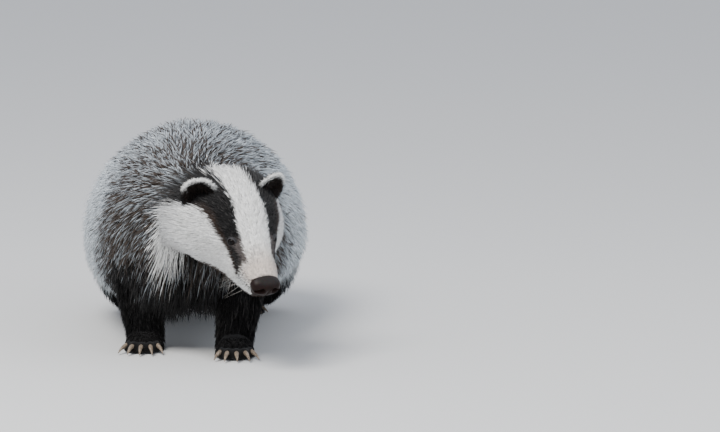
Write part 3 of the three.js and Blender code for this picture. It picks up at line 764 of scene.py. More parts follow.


# %% [markdown]
# A badger's guard hair is pale at its root, dark in a band and frosted at its tip, and that is what
# makes its back look grizzled. So each ring of a tuft has a colour of its own, and the rings by the
# root also carry painted shade, darker where the coat is deep. An image on the
# tufts could do this too, but it would need an unwrap of every one. Where a marking ends,
# chance puts each tuft on one side or the other, so the edges look furry and not drawn.

# %% The look of one tuft along its length
def tuft_colours(roots, levels, clump, count):
    """The colour of each tuft at each level of its length. Grizzled hairs are pale buff at the root,
    halved there as painted shade, dark in a band and frosted at the tip. White and black ones change
    little in colour, and every tuft gets painted shade that darkens it towards its root."""
    marks = markings(roots + rng.normal(0, 4.2, roots.shape) * smooth(marks_depth(roots), 6, 17)[:, None]
                     + rng.normal(0, 0.6, roots.shape))
    chance = rng.random(count)
    marks["black"] = smooth(marks["black"], 0.1 + 0.6 * chance, 0.3 + 0.6 * chance)
    marks["white"] = smooth(marks["white"], 0.7 - 0.6 * chance, 0.9 - 0.6 * chance)
    light = np.clip(marks["light"] + 0.30 * (clump - 0.5) + rng.normal(0, 0.12, count), 0, 1)
    t = np.asarray(levels)[None, :]
    kind = rng.random(count)
    sooty = (kind < 0.62 * (1 - light) ** 1.1)[:, None]
    middle = 0.42 + 0.06 * rng.normal(0, 1, (count, 1))
    band = (1 - 0.93 * light)[:, None] * (1 - smooth(np.abs(t - middle), 0.14, 0.34))
    # Painted shade: the buff at the root is taken at 0.45 of its colour, as the shade deep in the coat.
    grizzle = mixed(BUFF * 0.45, FROST, smooth(t, 0.3, 0.95) * np.ones((count, 1)))
    grizzle = grizzle * (0.42 + 0.60 * light)[:, None, None]
    grizzle = mixed(grizzle, SMOKE, band)
    soot = sooty * smooth(t, 0.1, 0.4) * np.ones((count, 1))
    grizzle = mixed(grizzle, SMOKE * (1.2 + 2.0 * t)[..., None], soot)
    many = {key: value[:, None] * np.ones_like(t) for key, value in marks.items()}
    colour = laid(many, grizzle)
    frosted = many["black"] * smooth(t, 0.55, 1.0) * (rng.random((count, 1)) < 0.14)
    colour = mixed(colour, np.array([0.16, 0.15, 0.145]), frosted * 0.6)
    # Painted shade: each tuft runs from 1.04 of its colour at the tip to 0.72 at the root, where the coat is
    # deep, times a random tone of its own and of its clump.
    shade = (0.72 + 0.32 * t) * (1 + rng.normal(0, 0.09, (count, 1)) + 0.10 * (clump[:, None] - 0.5))
    return colour * shade[..., None]


def marks_depth(points):
    """The depth of the coat near each point, about 2 mm at the nose and 26 mm on the body."""
    return np.interp(to_head(points)[1], [-60, -18, 6, 26, 56, 97], [26, 15, 10, 8, 4, 2.3])


HEAD_BACK = unit(on_head(0.0, -1.0, -0.30) - on_head(0.0, 0.0, 0.0))


def grow(point, depth_at, root_u, root_a, reach_u, turn, length, shape, tip_depth):
    """Paths of tufts over a surface. One path keeps to the surface, at u + reach t and angle + turn t,
    while its depth falls from the skin's to the tip's as t to the power 0.8. Another runs straight
    on, or to the back of the head where aim is 1. Stiffness mixes the two, weight bends the tip
    down by t squared, and tips lean to their clump."""
    t = np.asarray(shape["levels"])[None, :]
    base = depth_at(root_u)
    depth = base[:, None] + (tip_depth - base)[:, None] * t**0.8
    follow = point(root_u[:, None] + reach_u[:, None] * t, root_a[:, None] + turn[:, None] * t, depth)
    roots = follow[:, 0]
    normals = unit(point(root_u, root_a, tip_depth - 0.2) - roots)
    rise = np.linalg.norm(point(root_u, root_a, tip_depth) - roots, axis=-1)
    ahead = unit(point(root_u + 0.1 * reach_u, root_a + 0.1 * turn, base) - roots)
    aim = shape["aim"](root_u, root_a)[:, None]
    ahead = unit(ahead * (1 - aim) + (HEAD_BACK + 0.30 * normals) * aim)
    run = np.sqrt(np.maximum(length**2 - rise**2, (0.3 * length) ** 2))
    straight = roots[:, None] + ahead[:, None] * (run[:, None] * t)[..., None]
    straight = straight + normals[:, None] * (rise[:, None] * t**0.8)[..., None]
    stiff = shape["stiff"](root_u, root_a)[:, None, None]
    paths = follow + (straight - follow) * stiff
    paths[..., 2] -= (shape["weight"](root_u, root_a) * length)[:, None] * t**2
    centre, number = clumps(roots, shape["clump"])
    lean = centre - roots
    lean -= normals * (lean * normals).sum(-1, keepdims=True)
    paths = paths + lean[:, None, :] * (shape["pull"] * t**1.6)[..., None]
    actual = np.linalg.norm(paths[:, -1] - roots, axis=-1)
    shrink = np.minimum(1.0, 1.35 * length / np.maximum(actual, 1e-6))
    paths = roots[:, None] + (paths - roots[:, None]) * shrink[:, None, None]
    paths[..., 2] = np.maximum(paths[..., 2], 0.8)
    return paths, normals, number


BODY_LEVELS = [0.0, 0.42, 0.74, 1.0]
FACE_LEVELS = [0.0, 0.5, 1.0]
TOPS = {4: np.array([0.8, 1.0, 0.72]), 3: np.array([0.9, 0.8])}
PIECE_LIMIT = {4: 12000, 3: 19000}
tuft_count = 0


def even(value):
    """A shape value that is the same all over."""
    return lambda u, angle=0: value + 0 * u


def plant(label, point, depth_at, places, shape, keep, material, unwrap):
    """Grows tufts at the places that keep lets through, in pieces of at most PIECE_LIMIT tufts."""
    global tuft_count
    root_u, root_a = places
    chosen = keep(point(root_u, root_a, depth_at(root_u)))
    root_u, root_a = root_u[chosen], root_a[chosen]
    count = len(root_u)
    length = shape["length"](root_u, root_a) * (1 + 0.22 * rng.uniform(-1, 1, count))
    step = 0.004
    there = np.clip(root_u + step, 0, 1)
    here = np.clip(root_u - step, 0, 1)
    speed = np.linalg.norm(point(there, root_a, 0.3) - point(here, root_a, 0.3), axis=-1) / (there - here)
    reach = shape["way"] * length / np.maximum(speed, 30)
    reach = np.clip(root_u + reach, 0.0, 1.0) - root_u
    turn = shape["turn"](root_u, root_a) + shape["stray"] * rng.normal(0, 1, count)
    tip = shape["tip"] * rng.random(count) ** 1.3 - shape["proud"] * rng.random(count) ** 2
    levels = shape["levels"]
    paths, normals, number = grow(point, depth_at, root_u, root_a, reach, turn, length, shape, tip)
    width = shape["width"](root_u) * (1 + 0.25 * rng.uniform(-1, 1, count))
    points = spikes(paths, normals, width, TOPS[len(levels)])
    colours = tuft_colours(paths[:, 0], levels, number, count)
    ring_colours = np.repeat(colours[:, :-1], 3, axis=1)
    all_colours = np.concatenate([ring_colours, colours[:, -1:]], 1)
    pieces = math.ceil(count / PIECE_LIMIT[len(levels)])
    order = np.argsort(root_u, kind="stable")
    for k, chunk in enumerate(np.array_split(order, pieces)):
        u, a = root_u[chunk], root_a[chunk]
        place = unwrap(u, a)
        low, high = place.min(0), place.max(0)
        place = 0.01 + 0.98 * (place - low) / (high - low)
        coat_piece(f"{label}_{k + 1}", points[chunk], all_colours[chunk], place, material)
    tuft_count += count
    print(f"{label}: {count} tufts in {pieces} pieces")


# %% [markdown]
# The long coat covers rump, trunk and neck. Its tufts are nearly three centimetres long and a
# millimetre wide, because a badger's guard hairs hang together in narrow locks. On the head the
# same surface carries fur a tenth as long, so length and width both follow the coat's depth.

# %% The long coat of trunk and neck, and the fur of the head
def ruff(u, angle):
    """1 on the cheeks behind the jaw, where the fur is long and stands out, and 0 elsewhere."""
    return smooth(u, 0.56, 0.59) * (1 - smooth(u, 0.63, 0.72)) * np.abs(np.cos(angle)) ** 0.6


def spine_length(u, angle):
    """The length of a tuft: a share of the coat's depth there, between its top, side and belly
    values, more on the ruff, the nape and the chest, and little more than half of it by the eyes."""
    m = along(SPINE, u)
    up = np.sin(angle)
    ends = np.where(up > 0, m[:, 9], m[:, 11])
    share = 0.86 + 0.24 * smooth(u, 0.5, 0.7)
    nape = smooth(u, 0.52, 0.57) * (1 - smooth(u, 0.60, 0.66)) * smooth(up, 0.2, 0.8)
    chest = smooth(u, 0.33, 0.45) * (1 - smooth(u, 0.52, 0.6)) * smooth(-up, 0.3, 0.8)
    eye = np.linalg.norm(spine_point(u, angle, 0.5) - eye_frame(1)[1], axis=-1)
    eye = np.minimum(eye, np.linalg.norm(spine_point(u, angle, 0.5) - eye_frame(-1)[1], axis=-1))
    near = 0.55 + 0.45 * smooth(eye, 7, 15)
    return near * share * (m[:, 10] + (ends - m[:, 10]) * up**2) + 14 * ruff(u, angle) + 9 * nape + 28 * chest


def spine_stiff(u, angle):
    """How straight a tuft runs: a third on the body, nearly all on cheeks and nape, so that they
    bridge the crease behind the head."""
    return 0.35 + 0.55 * smooth(u, 0.56, 0.6) * (1 - smooth(u, 0.68, 0.78))


def spine_aim(u, angle):
    """How much a tuft points straight to the back of the head: on cheeks and nape only."""
    return 0.9 * smooth(u, 0.56, 0.585) * (1 - smooth(u, 0.66, 0.74))


def spine_weight(u, angle):
    """How far a tip hangs, as a share of its length: most under the chest and belly."""
    return 0.06 + 0.46 * smooth(-np.sin(angle), 0.1, 0.7) * (1 - smooth(u, 0.62, 0.7))


def spine_droop(u, angle):
    """How far a tuft turns towards the belly: most on the flanks, none on back and belly."""
    return -0.30 * np.cos(angle) * (1 - 0.6 * smooth(u, 0.6, 0.75))


def spine_unwrap(u, angle):
    """The loft laid flat: its angle across and its u up."""
    return np.stack([angle / (2 * math.pi), u], -1)


LID_REACH = 9.0
LID_ANGLE = math.radians(51)


def off_features(points):
    """Keeps roots that are clear of the legs, the eyes and the nose pad."""
    clear = np.ones(len(points), bool)
    for hand in (1, -1):
        turn, centre = eye_frame(hand)
        off = points - centre
        away = np.linalg.norm(off, axis=-1)
        clear &= (away > LID_REACH) | (off @ turn[:, 2] < math.cos(LID_ANGLE) * away)
    return ~in_leg(points) & clear & (pad_square(points) > 0.8)


SPLIT = 0.60
quick_share = 1.0
BELLY_TURN = (-math.pi / 2, 1.5 * math.pi)
body_u, body_a, area = scatter(
    lambda u, a: spine_point(u, a, 0.5), int(48000 * quick_share), (0.004, SPLIT), BELLY_TURN,
    lambda u, a: (1 + 0.9 * smooth(u, 0.45, 0.6)) * (1 - 0.55 * smooth(-np.sin(a), 0.6, 0.95)))
print("long coat covers", round(area / 100), "square centimetres")
body_shape = {
    "length": spine_length, "way": -1, "turn": spine_droop, "stray": 0.09, "tip": 0.42, "levels": BODY_LEVELS,
    "proud": 0.16, "stiff": spine_stiff, "aim": spine_aim, "weight": spine_weight,
    "clump": 7.0, "pull": 0.5, "width": lambda u: 1.4 - 0.35 * smooth(u, 0.42, 0.6)}
plant("coat", spine_point, spine_depth, (body_u, body_a), body_shape, off_features, body_material,
      spine_unwrap)

face_u, face_a, area = scatter(
    lambda u, a: spine_point(u, a, 0.6), int(38000 * quick_share), (SPLIT - 0.015, 0.998), BELLY_TURN,
    lambda u, a: (1 + 1.6 * smooth(u, 0.66, 0.85) + 1.5 * smooth(u, 0.9, 0.97))
    * (1 - 0.4 * smooth(-np.sin(a), 0.7, 0.95)))
print("the head's fur covers", round(area / 100), "square centimetres")
face_shape = {
    "length": lambda u, a: np.maximum(spine_length(u, a), 2.6), "way": -1, "turn": spine_droop, "stray": 0.05,
    "tip": 0.30, "levels": FACE_LEVELS, "clump": 3.6, "pull": 0.35, "proud": 0.10,
    "stiff": spine_stiff, "aim": spine_aim, "weight": spine_weight,
    "width": lambda u: 1.0 - 0.42 * smooth(u, 0.62, 0.8)}
plant("face_fur", spine_point, spine_depth, (face_u, face_a), face_shape, off_features, face_material,
      spine_unwrap)

# %% [markdown]
# Legs are black, and their fur is short and lies down towards the paw. It could be cut from the
# trunk's coat, but it lies another way. Roots that fall inside the trunk are left out.

# %% Fur of the legs
PLAIN_FUR = {"way": 1, "turn": even(0), "stray": 0.12, "tip": 0.3, "levels": FACE_LEVELS, "pull": 0.5,
             "stiff": even(0.4), "aim": even(0), "weight": even(0)}
for name, leg in LEGS.items():
    hind = name.startswith("hind")
    count = int((7000 if hind else 5500) * quick_share)
    leg_u, leg_a, area = scatter(
        lambda u, a: leg_point(leg, u, a, 0.5), count, (0.03, 0.97), (0.0, 2 * math.pi),
        lambda u, a: 1 + 0 * u * a)
    leg_shape = {
        **PLAIN_FUR, "length": lambda u, a: 7 + 0.9 * along(leg["sections"], u)[:, 5], "tip": 0.40, "clump": 5.5,
        "proud": 0.30, "stiff": even(0.6), "weight": even(0.05), "width": lambda u: 1.5 - 0.5 * u}
    plant("fur_" + name, lambda u, a, depth: leg_point(leg, u, a, depth), leg_depth, (leg_u, leg_a), leg_shape,
          lambda points: ~in_trunk(points), leg_material, spine_unwrap)

# %% [markdown]
# A badger walks on broad paws with five toes. For its fur each paw is one dome over palm and toes:
# the angle goes round it, and u runs from the ankle down to the floor. Growing fur on each toe
# apart would leave bare clefts, and one dome lets it lie forward and down over all five.

# %% Fur of the paws
def paw_point(leg, u, angle, depth=0.0):
    """A point over a paw: a squared ellipse that reaches to the toes in front, and falls from
    the ankle to the floor as a quarter circle."""
    u, angle, depth = np.broadcast_arrays(np.asarray(u, float), angle, depth)
    foot = leg["foot"]
    turn, place = foot_frame(leg)
    c, n = np.cos(angle), np.sin(angle)
    ahead = foot["reach"][2] + 0.55 * foot["toe"][1]
    wide = foot["palm"][0] - 1.5 + 7.0 * np.clip(-n, 0, 1) * np.abs(c) + 1.2 * (1 - depth)
    long = np.where(n < 0, ahead, foot["palm"][1]) - 1.5 + 1.2 * (1 - depth)
    out = np.sin(u * math.pi / 2)
    high = (foot["palm"][2] + foot["at"][2] - 3.5 + 1.2 * (1 - depth)) * np.cos(u * math.pi / 2)
    front = smooth(-n, 0.2, 0.9) * smooth(out, 0.5, 0.9)
    high = high * (1 - 0.25 * front) + 6.5 * front * (1 - smooth(out, 0.9, 1.0))
    local = np.stack([wide * c * out, foot["at"][1] * 0.5 + long * n * out, high], -1)
    return local @ turn.T + place


for name, leg in LEGS.items():
    paw_u, paw_a, area = scatter(
        lambda u, a: paw_point(leg, u, a, 0.5), int(2200 * quick_share), (0.3, 0.97), (0.0, 2 * math.pi),
        lambda u, a: 1 + 0 * u * a)
    paw_shape = {
        **PLAIN_FUR, "length": even(5.5), "clump": 3.5, "pull": 0.3, "width": even(0.95), "proud": 0.6}
    plant("fur_paw_" + name, lambda u, a, depth: paw_point(leg, u, a, depth), even(1.0),
          (paw_u, paw_a), paw_shape, lambda points: points[:, 2] > 1.0, leg_material, spine_unwrap)

# %% [markdown]
# The tail is short and as woolly as the rump. Its tufts run to its tip and a little past it, so that
# it ends in a soft brush. It uses the same planting as the trunk, on a surface of its own.

# %% Fur of the tail
tail_u, tail_a, area = scatter(
    lambda u, a: tail_point(u, a, 0.5), int(4500 * quick_share), (0.12, 0.97), (0.0, 2 * math.pi),
    lambda u, a: 1 + 0 * u * a)
tail_shape = {
    **PLAIN_FUR, "length": even(24), "stray": 0.08, "levels": BODY_LEVELS, "clump": 6.0, "width": even(1.4),
    "proud": 0.2, "weight": even(0.1)}
plant("fur_tail", tail_point, even(0.5), (tail_u, tail_a), tail_shape,
      lambda points: ~in_trunk(points), body_material, spine_unwrap)

# %% [markdown]
# The ears are black in the cup and on the back, with a clean white fringe along the upper rim. The
# fringe is what one sees from afar, so it gets tufts of its own that stand up from the rim.

# %% Fur of the ears
def ear_tufts(side, count):
    """Straight paths over an ear, each from its root s and angle: away from its middle on the back,
    out from the rim as a fringe, and out of the cup towards its mouth."""
    s = np.concatenate([rng.uniform(0.04, 0.46, count // 3), rng.uniform(0.40, 0.60, count // 3),
                        rng.uniform(0.56, 0.98, count // 3)])
    a = rng.uniform(0, 2 * math.pi, len(s))
    spread = np.abs(np.sin(np.pi * s)) + 0.12
    keep = rng.random(len(s)) < spread
    s, a = s[keep], a[keep]
    roots = ear_point(side, s, a)
    middle = ear_point(side, 0.5, np.linspace(0, 2 * math.pi, 40)).mean(0)
    outward = unit(ear_point(side, 0.5, a) - middle)
    normals = unit(ear_point(side, s, a, 1.0) - roots)
    turn, _ = ear_frame(side)
    mouth = -(HEAD_TURN @ turn)[:, 1]
    cup = smooth(s, 0.54, 0.62)[:, None]
    upward = (HEAD_TURN @ turn)[:, 2]
    way = outward * (1 - cup) + (0.9 * mouth + 0.5 * upward + 0.25 * outward) * cup
    way = unit(way + 0.35 * normals + 0.30 * rng.normal(0, 1, roots.shape))
    rim = smooth(s, 0.38, 0.46) * (1 - smooth(s, 0.54, 0.60))
    length = (3.4 + 1.4 * rim + 2.8 * cup[:, 0]) * (1 + 0.45 * rng.uniform(-1, 1, len(s)))
    t = np.array(FACE_LEVELS)[None, :, None]
    paths = roots[:, None] + way[:, None] * length[:, None, None] * t
    paths[..., 2] -= 0.06 * length[:, None] * t[..., 0] ** 2
    across = unit(np.cross(way, normals))
    white = smooth(np.sin(a - side * 0.35), 0.25, 0.6) * smooth(s, 0.41, 0.45) * (1 - smooth(s, 0.50, 0.535))
    return paths, unit(np.cross(across, way)), s, a, white


for side, label in ((1, "ear_fur_left"), (-1, "ear_fur_right")):
    paths, normals, s, a, white = ear_tufts(side, int(12000 * quick_share))
    count = len(s)
    points = spikes(paths, normals, 0.68 * (1 + 0.2 * rng.uniform(-1, 1, count)), TOPS[3])
    base = mixed(BLACK * np.ones((count, 1)), BROWN, 0.5 * rng.random(count) * (s > 0.5))
    base = mixed(base, WHITE, white) * (1 + rng.normal(0, 0.1, (count, 1)))
    # Painted shade: the lower rings of each tuft are 0.55 and 0.85 as light as its tip, darker towards the root
    # deep in the fur.
    colours = base[:, None, :] * np.array([0.55, 0.55, 0.55, 0.85, 0.85, 0.85, 1.0])[None, :, None]
    place = 0.01 + 0.98 * np.stack([a / (2 * math.pi), s], -1)
    coat_piece(label, points, colours, place, face_material)
    tuft_count += count


def ear_marks(points):
    """How much a point of the skin belongs to an ear, and how white the rim is there."""
    side, forward, up = to_head(points)
    inner = np.stack([side, -forward, up], -1)
    ear, rim = np.zeros(len(points)), np.zeros(len(points))
    for hand in (1, -1):
        turn, at = ear_frame(hand)
        local = (inner - at) @ turn
        reach = np.sqrt((local[:, 0] / EAR["half"][0]) ** 2 + (local[:, 2] / EAR["half"][2]) ** 2)
        near = (1 - smooth(reach, 1.05, 1.15)) * (1 - smooth(np.abs(local[:, 1] - 3), 5, 8))
        ear = np.maximum(ear, near)
        top = 0.94 * local[:, 2] / EAR["half"][2] - hand * 0.34 * local[:, 0] / EAR["half"][0]
        rim = np.maximum(rim, near * smooth(reach, 0.90, 0.97) * smooth(top, 0.35, 0.65))
    return ear, rim


ear_share, rim_share = ear_marks(points_of(skin))
muzzle_rim = 1 - smooth(np.sqrt(pad_square(points_of(skin))), 1.35, 1.8)
skin_colour = mixed(skin_colour, ASH * 0.6, muzzle_rim)
skin_colour = mixed(skin_colour, BLACK, ear_share)
skin_colour = mixed(skin_colour, WHITE * 0.6, rim_share)
paint(skin, "coat_colour", skin_colour)
print("tufts in all:", tuft_count)

# %% [markdown]
# ## Eyes and lids
# A badger's eye is small and nearly black, and the light on it brings the face to life. The ball
# has a slightly raised cornea, a dark brown iris and a black pupil. The lids are a thin bowl over
# the ball with an almond opening, a soft edge and fine folds. Their skin is slate grey, and shows
# as a narrow ring in the dark band. A sculpted lid would do, but this one fits its ball exactly.

# %% Eyeballs and lids
def sphere_point(side, polar, angle, radius):
    """A point at a polar angle from the way the eye looks, an angle round it, and a radius."""
    turn, centre = eye_frame(side)
    x, y, z = np.sin(polar) * np.cos(angle), np.sin(polar) * np.sin(angle), np.cos(polar) + 0 * angle
    return (np.stack([x, y, z], -1) * np.asarray(radius)[..., None]) @ turn.T + centre


def ball_radius(polar):
    """The radius of the ball, with its cornea as a bell curve of 0.45 mm round the way it looks."""
    return EYE["radius"] - 0.15 + 0.45 * np.exp(-((polar / 0.55) ** 2))


def lid_opening(side, angle):
    """The polar angle of the lids' edge: an ellipse, drawn out into a point at the inner corner."""
    inner = math.pi if side > 0 else 0.0
    off = np.angle(np.exp(1j * (angle - inner)))
    almond = 1 / np.sqrt((np.cos(angle) / 45) ** 2 + (np.sin(angle) / 38) ** 2)
    outer = np.abs(off) - math.pi
    return np.radians(almond + 15 * np.exp(-((off / 0.30) ** 2)) + 5 * np.exp(-((outer / 0.25) ** 2)))


def lid_point(side, s, angle):
    """A point of the lids: up to s = 0.3 it runs round the edge, a half circle of 0.5 mm, and then
    over the ball to 112 degrees, with shallow wavy folds, and sinks into the skin outwards."""
    radius, edge = EYE["radius"], 0.5
    opening = lid_opening(side, angle)
    bend = np.radians(-75 + 165 * np.clip(s / 0.3, 0, 1))
    over = np.clip((s - 0.3) / 0.7, 0, 1)
    start = opening + edge * (1 - np.cos(bend)) / radius
    polar = start + (math.radians(112) - start) * over**1.15
    waves = 2 * math.pi * over * 5.5 + 0.8 * np.sin(3 * angle)
    folds = 0.24 * np.cos(waves) * np.exp(-((over - 0.25) / 0.22) ** 2)
    height = radius + 0.32 + edge * np.sin(bend) + folds - 1.7 * smooth(over, 0.22, 0.8)
    return sphere_point(side, polar, angle + 0 * s, height)


eye_material, nodes, links, shader = new_material("wet dark eye", 0.05, 0.13)
colour = add_node(nodes, "ShaderNodeAttribute", attribute_name="iris_colour")
(fibres,) = textures(nodes, links, ("Noise", {"Scale": 1400.0, "Detail": 4.0}))
tint = multiplied(nodes, links, colour.outputs["Color"], fibres.outputs["Color"], 0.5)
links.new(tint, shader.inputs["Base Color"])

lid_material, nodes, links, shader = new_material("slate eyelid skin", 0.5, 0.2)
colour = add_node(nodes, "ShaderNodeAttribute", attribute_name="coat_colour")
(pores,) = textures(nodes, links, ("Voronoi", {"Scale": 1500.0}))
relief_from(nodes, links, shader, pores.outputs["Distance"], 0.35, 0.0002)
links.new(colour.outputs["Color"], shader.inputs["Base Color"])

SLATE = np.array([0.030, 0.029, 0.031])
for side, label in ((1, "left"), (-1, "right")):
    polar = np.linspace(0.02, math.pi - 0.02, 48)
    points, faces = loft_parts(lambda v, a: sphere_point(side, v, a, ball_radius(v) + 0 * a), polar, 64)
    ball = make_mesh("eyeball_" + label, points, faces)
    v = np.concatenate([np.repeat(polar, 64), [0.0, math.pi]])
    iris = mixed(np.array([0.001, 0.001, 0.001]) * np.ones((len(v), 1)), np.array([0.005, 0.0025, 0.0015]),
                 smooth(v, 0.30, 0.36))
    iris = mixed(iris, np.array([0.002, 0.0015, 0.0015]), smooth(v, 0.62, 0.72))
    paint(ball, "iris_colour", iris)
    ball.data.materials.append(eye_material)
    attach(ball, "root")
    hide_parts("eye_" + label)

    s = np.linspace(0, 1, 40)
    angles = np.linspace(0, 2 * math.pi, 80, endpoint=False)
    grid = lid_point(side, s[:, None], angles[None, :])
    turn, centre = eye_frame(side)
    back = s[:11:-1]
    inner = centre + (grid[:11:-1] - centre) * 0.86
    rows = np.concatenate([grid, inner])
    closed = grid_faces(len(rows) + 1, 80) % (len(rows) * 80)
    lids = make_mesh("eyelids_" + label, rows.reshape(-1, 3), closed)
    ring = np.concatenate([s, back])
    shade = mixed(np.array([0.020, 0.018, 0.018]) * np.ones((len(ring), 1)), SLATE, smooth(ring, 0.16, 0.34))
    # Painted shade: a dark band round the middle of the lids, where their folds lie.
    shade = mixed(shade, BLACK * 2, 0.85 * np.exp(-(((ring - 0.50) / 0.045) ** 2)))
    shade = mixed(shade, BLACK * 1.5, smooth(ring, 0.62, 0.72))
    paint(lids, "coat_colour", np.repeat(shade, 80, axis=0))
    lids.data.materials.append(lid_material)
    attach(lids, "root")
print("eye to eye:", round(2 * EYE["side"], 1), "mm")

# %% [markdown]
# ## Nose, mouth and whiskers
# The nose pad is a broad, blunt wedge, flat on top. The nostrils are commas that open
# to the sides, and a fine groove runs down between them. They are pressed into a superellipsoid as a
# smooth function of the distance to a short line, so the pad stays one surface.

# %% The nose pad
NOSE_FRONT = np.array([0.017, 0.0085, 0.0068])
NOSE_TOP_HIGHLIGHT = np.array([0.026, 0.022, 0.021])
NOSE = {"forward": 99.0, "up": -29.5, "half": np.array([15.4, 9.2, 9.9]), "tilt": 12.0}


def nose_point(v, angle):
    """A point of the nose pad: v runs from its front to its back. The direction's powers sum to 1,
    its top is pressed flat, it narrows downwards, and nostrils and groove are pressed in."""
    x, z = np.sin(v) * np.cos(angle), np.sin(v) * np.sin(angle)
    y = -np.cos(v) + 0 * angle
    size = (np.abs(x) ** 2.5 + np.abs(y) ** 2.5 + np.abs(z) ** 2.5) ** (-1 / 2.5)
    p = np.stack([x, y, z], -1) * size[..., None] * NOSE["half"]
    p[..., 2] = np.where(p[..., 2] > 0, p[..., 2] * (0.93 - 0.10 * smooth(-p[..., 1], 2, 9)), p[..., 2])
    p[..., 0] *= 1 - 0.16 * smooth(-p[..., 2], 0, 9)
    start, end = np.array([6.2, 1.6]), np.array([12.0, -0.6])
    flat = np.stack([np.abs(p[..., 0]), p[..., 2]], -1) - start
    line = end - start
    share = np.clip((flat @ line) / (line @ line), 0, 1)
    off = np.linalg.norm(flat - share[..., None] * line, axis=-1)
    wide = 2.35 - 1.0 * share
    front = smooth(-p[..., 1], -1, 2)
    hole = np.exp(-((off / wide) ** 4)) * front
    rim = np.exp(-(((off - wide * 1.5) / 0.9) ** 2)) * front
    groove = np.exp(-((p[..., 0] / 0.7) ** 2)) * (1 - smooth(p[..., 2], -1, 3)) * front
    p[..., 1] += 4.6 * hole - 0.35 * rim + 0.9 * groove
    p[..., 0] -= 0.8 * hole * np.sign(p[..., 0])
    local = p @ turn_about("X", math.radians(NOSE["tilt"])).T
    return on_head(local[..., 0], NOSE["forward"] - local[..., 1], NOSE["up"] + local[..., 2])


nose_v = np.linspace(0.01, math.pi - 0.05, 110)
points, faces = loft_parts(nose_point, nose_v, 160)
nose = make_mesh("nose_pad", points, faces)
side, forward, up = to_head(points)
# Painted highlight: the flat top of the pad is lighter and greyer than its dark brown front.
top = smooth(up, -26, -20)
nose_colour = mixed(NOSE_FRONT * np.ones((len(points), 1)), NOSE_TOP_HIGHLIGHT, top)
paint(nose, "nose_colour", nose_colour)
nose_material, nodes, links, shader = new_material("nose leather", 0.40, 0.09)
colour = add_node(nodes, "ShaderNodeAttribute", attribute_name="nose_colour")
pebbles, fine = textures(nodes, links, ("Voronoi", {"Scale": 1500.0}),
                         ("Noise", {"Scale": 500.0, "Detail": 4.0}))
relief_from(nodes, links, shader, pebbles.outputs["Distance"], 0.4, 0.0003)
tint = multiplied(nodes, links, colour.outputs["Color"], fine.outputs["Color"], 0.6)
links.new(tint, shader.inputs["Base Color"])
wet = ranged(nodes, To_Min=0.24, To_Max=0.42)
links.new(fine.outputs["Fac"], wet.inputs["Value"])
links.new(wet.outputs["Result"], shader.inputs["Roughness"])
nose.data.materials.append(nose_material)
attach(nose, "root")
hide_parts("nose")
print("nose pad:", np.ptp(side).round(1), "mm wide")

# %% [markdown]
# Lips, whiskers and claws are all round bars along a bent path that get thinner towards the end.
# Curves with a bevel would draw them too, but would have to be turned into meshes for the
# export. One function that lays rings along many paths at once makes all three.

# %% Tubes for mouth, whiskers and claws
def tubes(paths, radii, sides):
    """Points and faces of closed round bars: at each step of each path a ring of sides points, in
    the plane square to the path, and a fan over both ends."""
    count, steps = paths.shape[:2]
    way = unit(np.gradient(paths, axis=1))
    guide = np.where(np.abs(way[..., 2:]) > 0.9, np.array([1.0, 0, 0]), np.array([0, 0, 1.0]))
    right = unit(np.cross(way, guide))
    up = np.cross(right, way)
    a = np.linspace(0, 2 * math.pi, sides, endpoint=False)
    ring = right[:, :, None] * np.cos(a)[:, None] + up[:, :, None] * np.sin(a)[:, None]
    points = paths[:, :, None] + ring * radii[:, :, None, None]
    corners = steps * sides
    points = np.concatenate([points.reshape(count, corners, 3), paths[:, :1], paths[:, -1:]], 1)
    quads = grid_faces(steps, sides)
    k = np.arange(sides)
    after = (k + 1) % sides
    low = np.stack([np.full(sides, corners), after, k], -1)
    high = np.stack([np.full(sides, corners + 1), corners - sides + k, corners - sides + after], -1)
    one = np.concatenate([quads[:, [0, 1, 2]], quads[:, [0, 2, 3]], low, high])[:, ::-1]
    faces = one[None] + np.arange(count)[:, None, None] * (corners + 2)
    return points.reshape(-1, 3), faces.reshape(-1, 3)


def add_tubes(name, paths, radii, sides, material):
    """A piece of closed round bars that rides with the animal."""
    points, faces = tubes(paths, radii, sides)
    piece = make_mesh(name, points, faces)
    piece.data.materials.append(material)
    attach(piece, "root")
    return piece


def plain_fibre(name, dark, pale, scale, roughness):
    """A finish for horn and whiskers: noise drawn out into streaks between two colours."""
    material, nodes, links, shader = new_material(name, roughness, 0.4)
    (noise,) = textures(nodes, links, ("Noise", {"Scale": scale, "Detail": 4.0, "Distortion": 1.0}))
    ramp = add_node(nodes, "ShaderNodeValToRGB")
    ramp.color_ramp.elements[0].position = 0.35
    ramp.color_ramp.elements[1].position = 0.65
    ramp.color_ramp.elements[0].color = (*dark, 1)
    ramp.color_ramp.elements[1].color = (*pale, 1)
    links.new(noise.outputs["Fac"], ramp.inputs["Fac"])
    links.new(ramp.outputs["Color"], shader.inputs["Base Color"])
    relief_from(nodes, links, shader, noise.outputs["Fac"], 0.3, 0.0003)
    return material


lip_material = plain_fibre("dark lip skin", (0.010, 0.008, 0.008), (0.035, 0.024, 0.022), 700.0, 0.45)
whisker_material = plain_fibre("pale whisker", (0.30, 0.28, 0.25), (0.62, 0.60, 0.56), 400.0, 0.4)
claw_material = plain_fibre("claw horn", (0.10, 0.075, 0.055), (0.30, 0.24, 0.18), 420.0, 0.32)

# %% [markdown]
# The mouth closes in a dark line along the muzzle. Whiskers are stiff, pale and few, and curve
# down and back. The claws of the fore feet are long, for digging. All of them are paths for
# the bars above: a line on the muzzle's surface, short parabolas, and arcs of a circle.

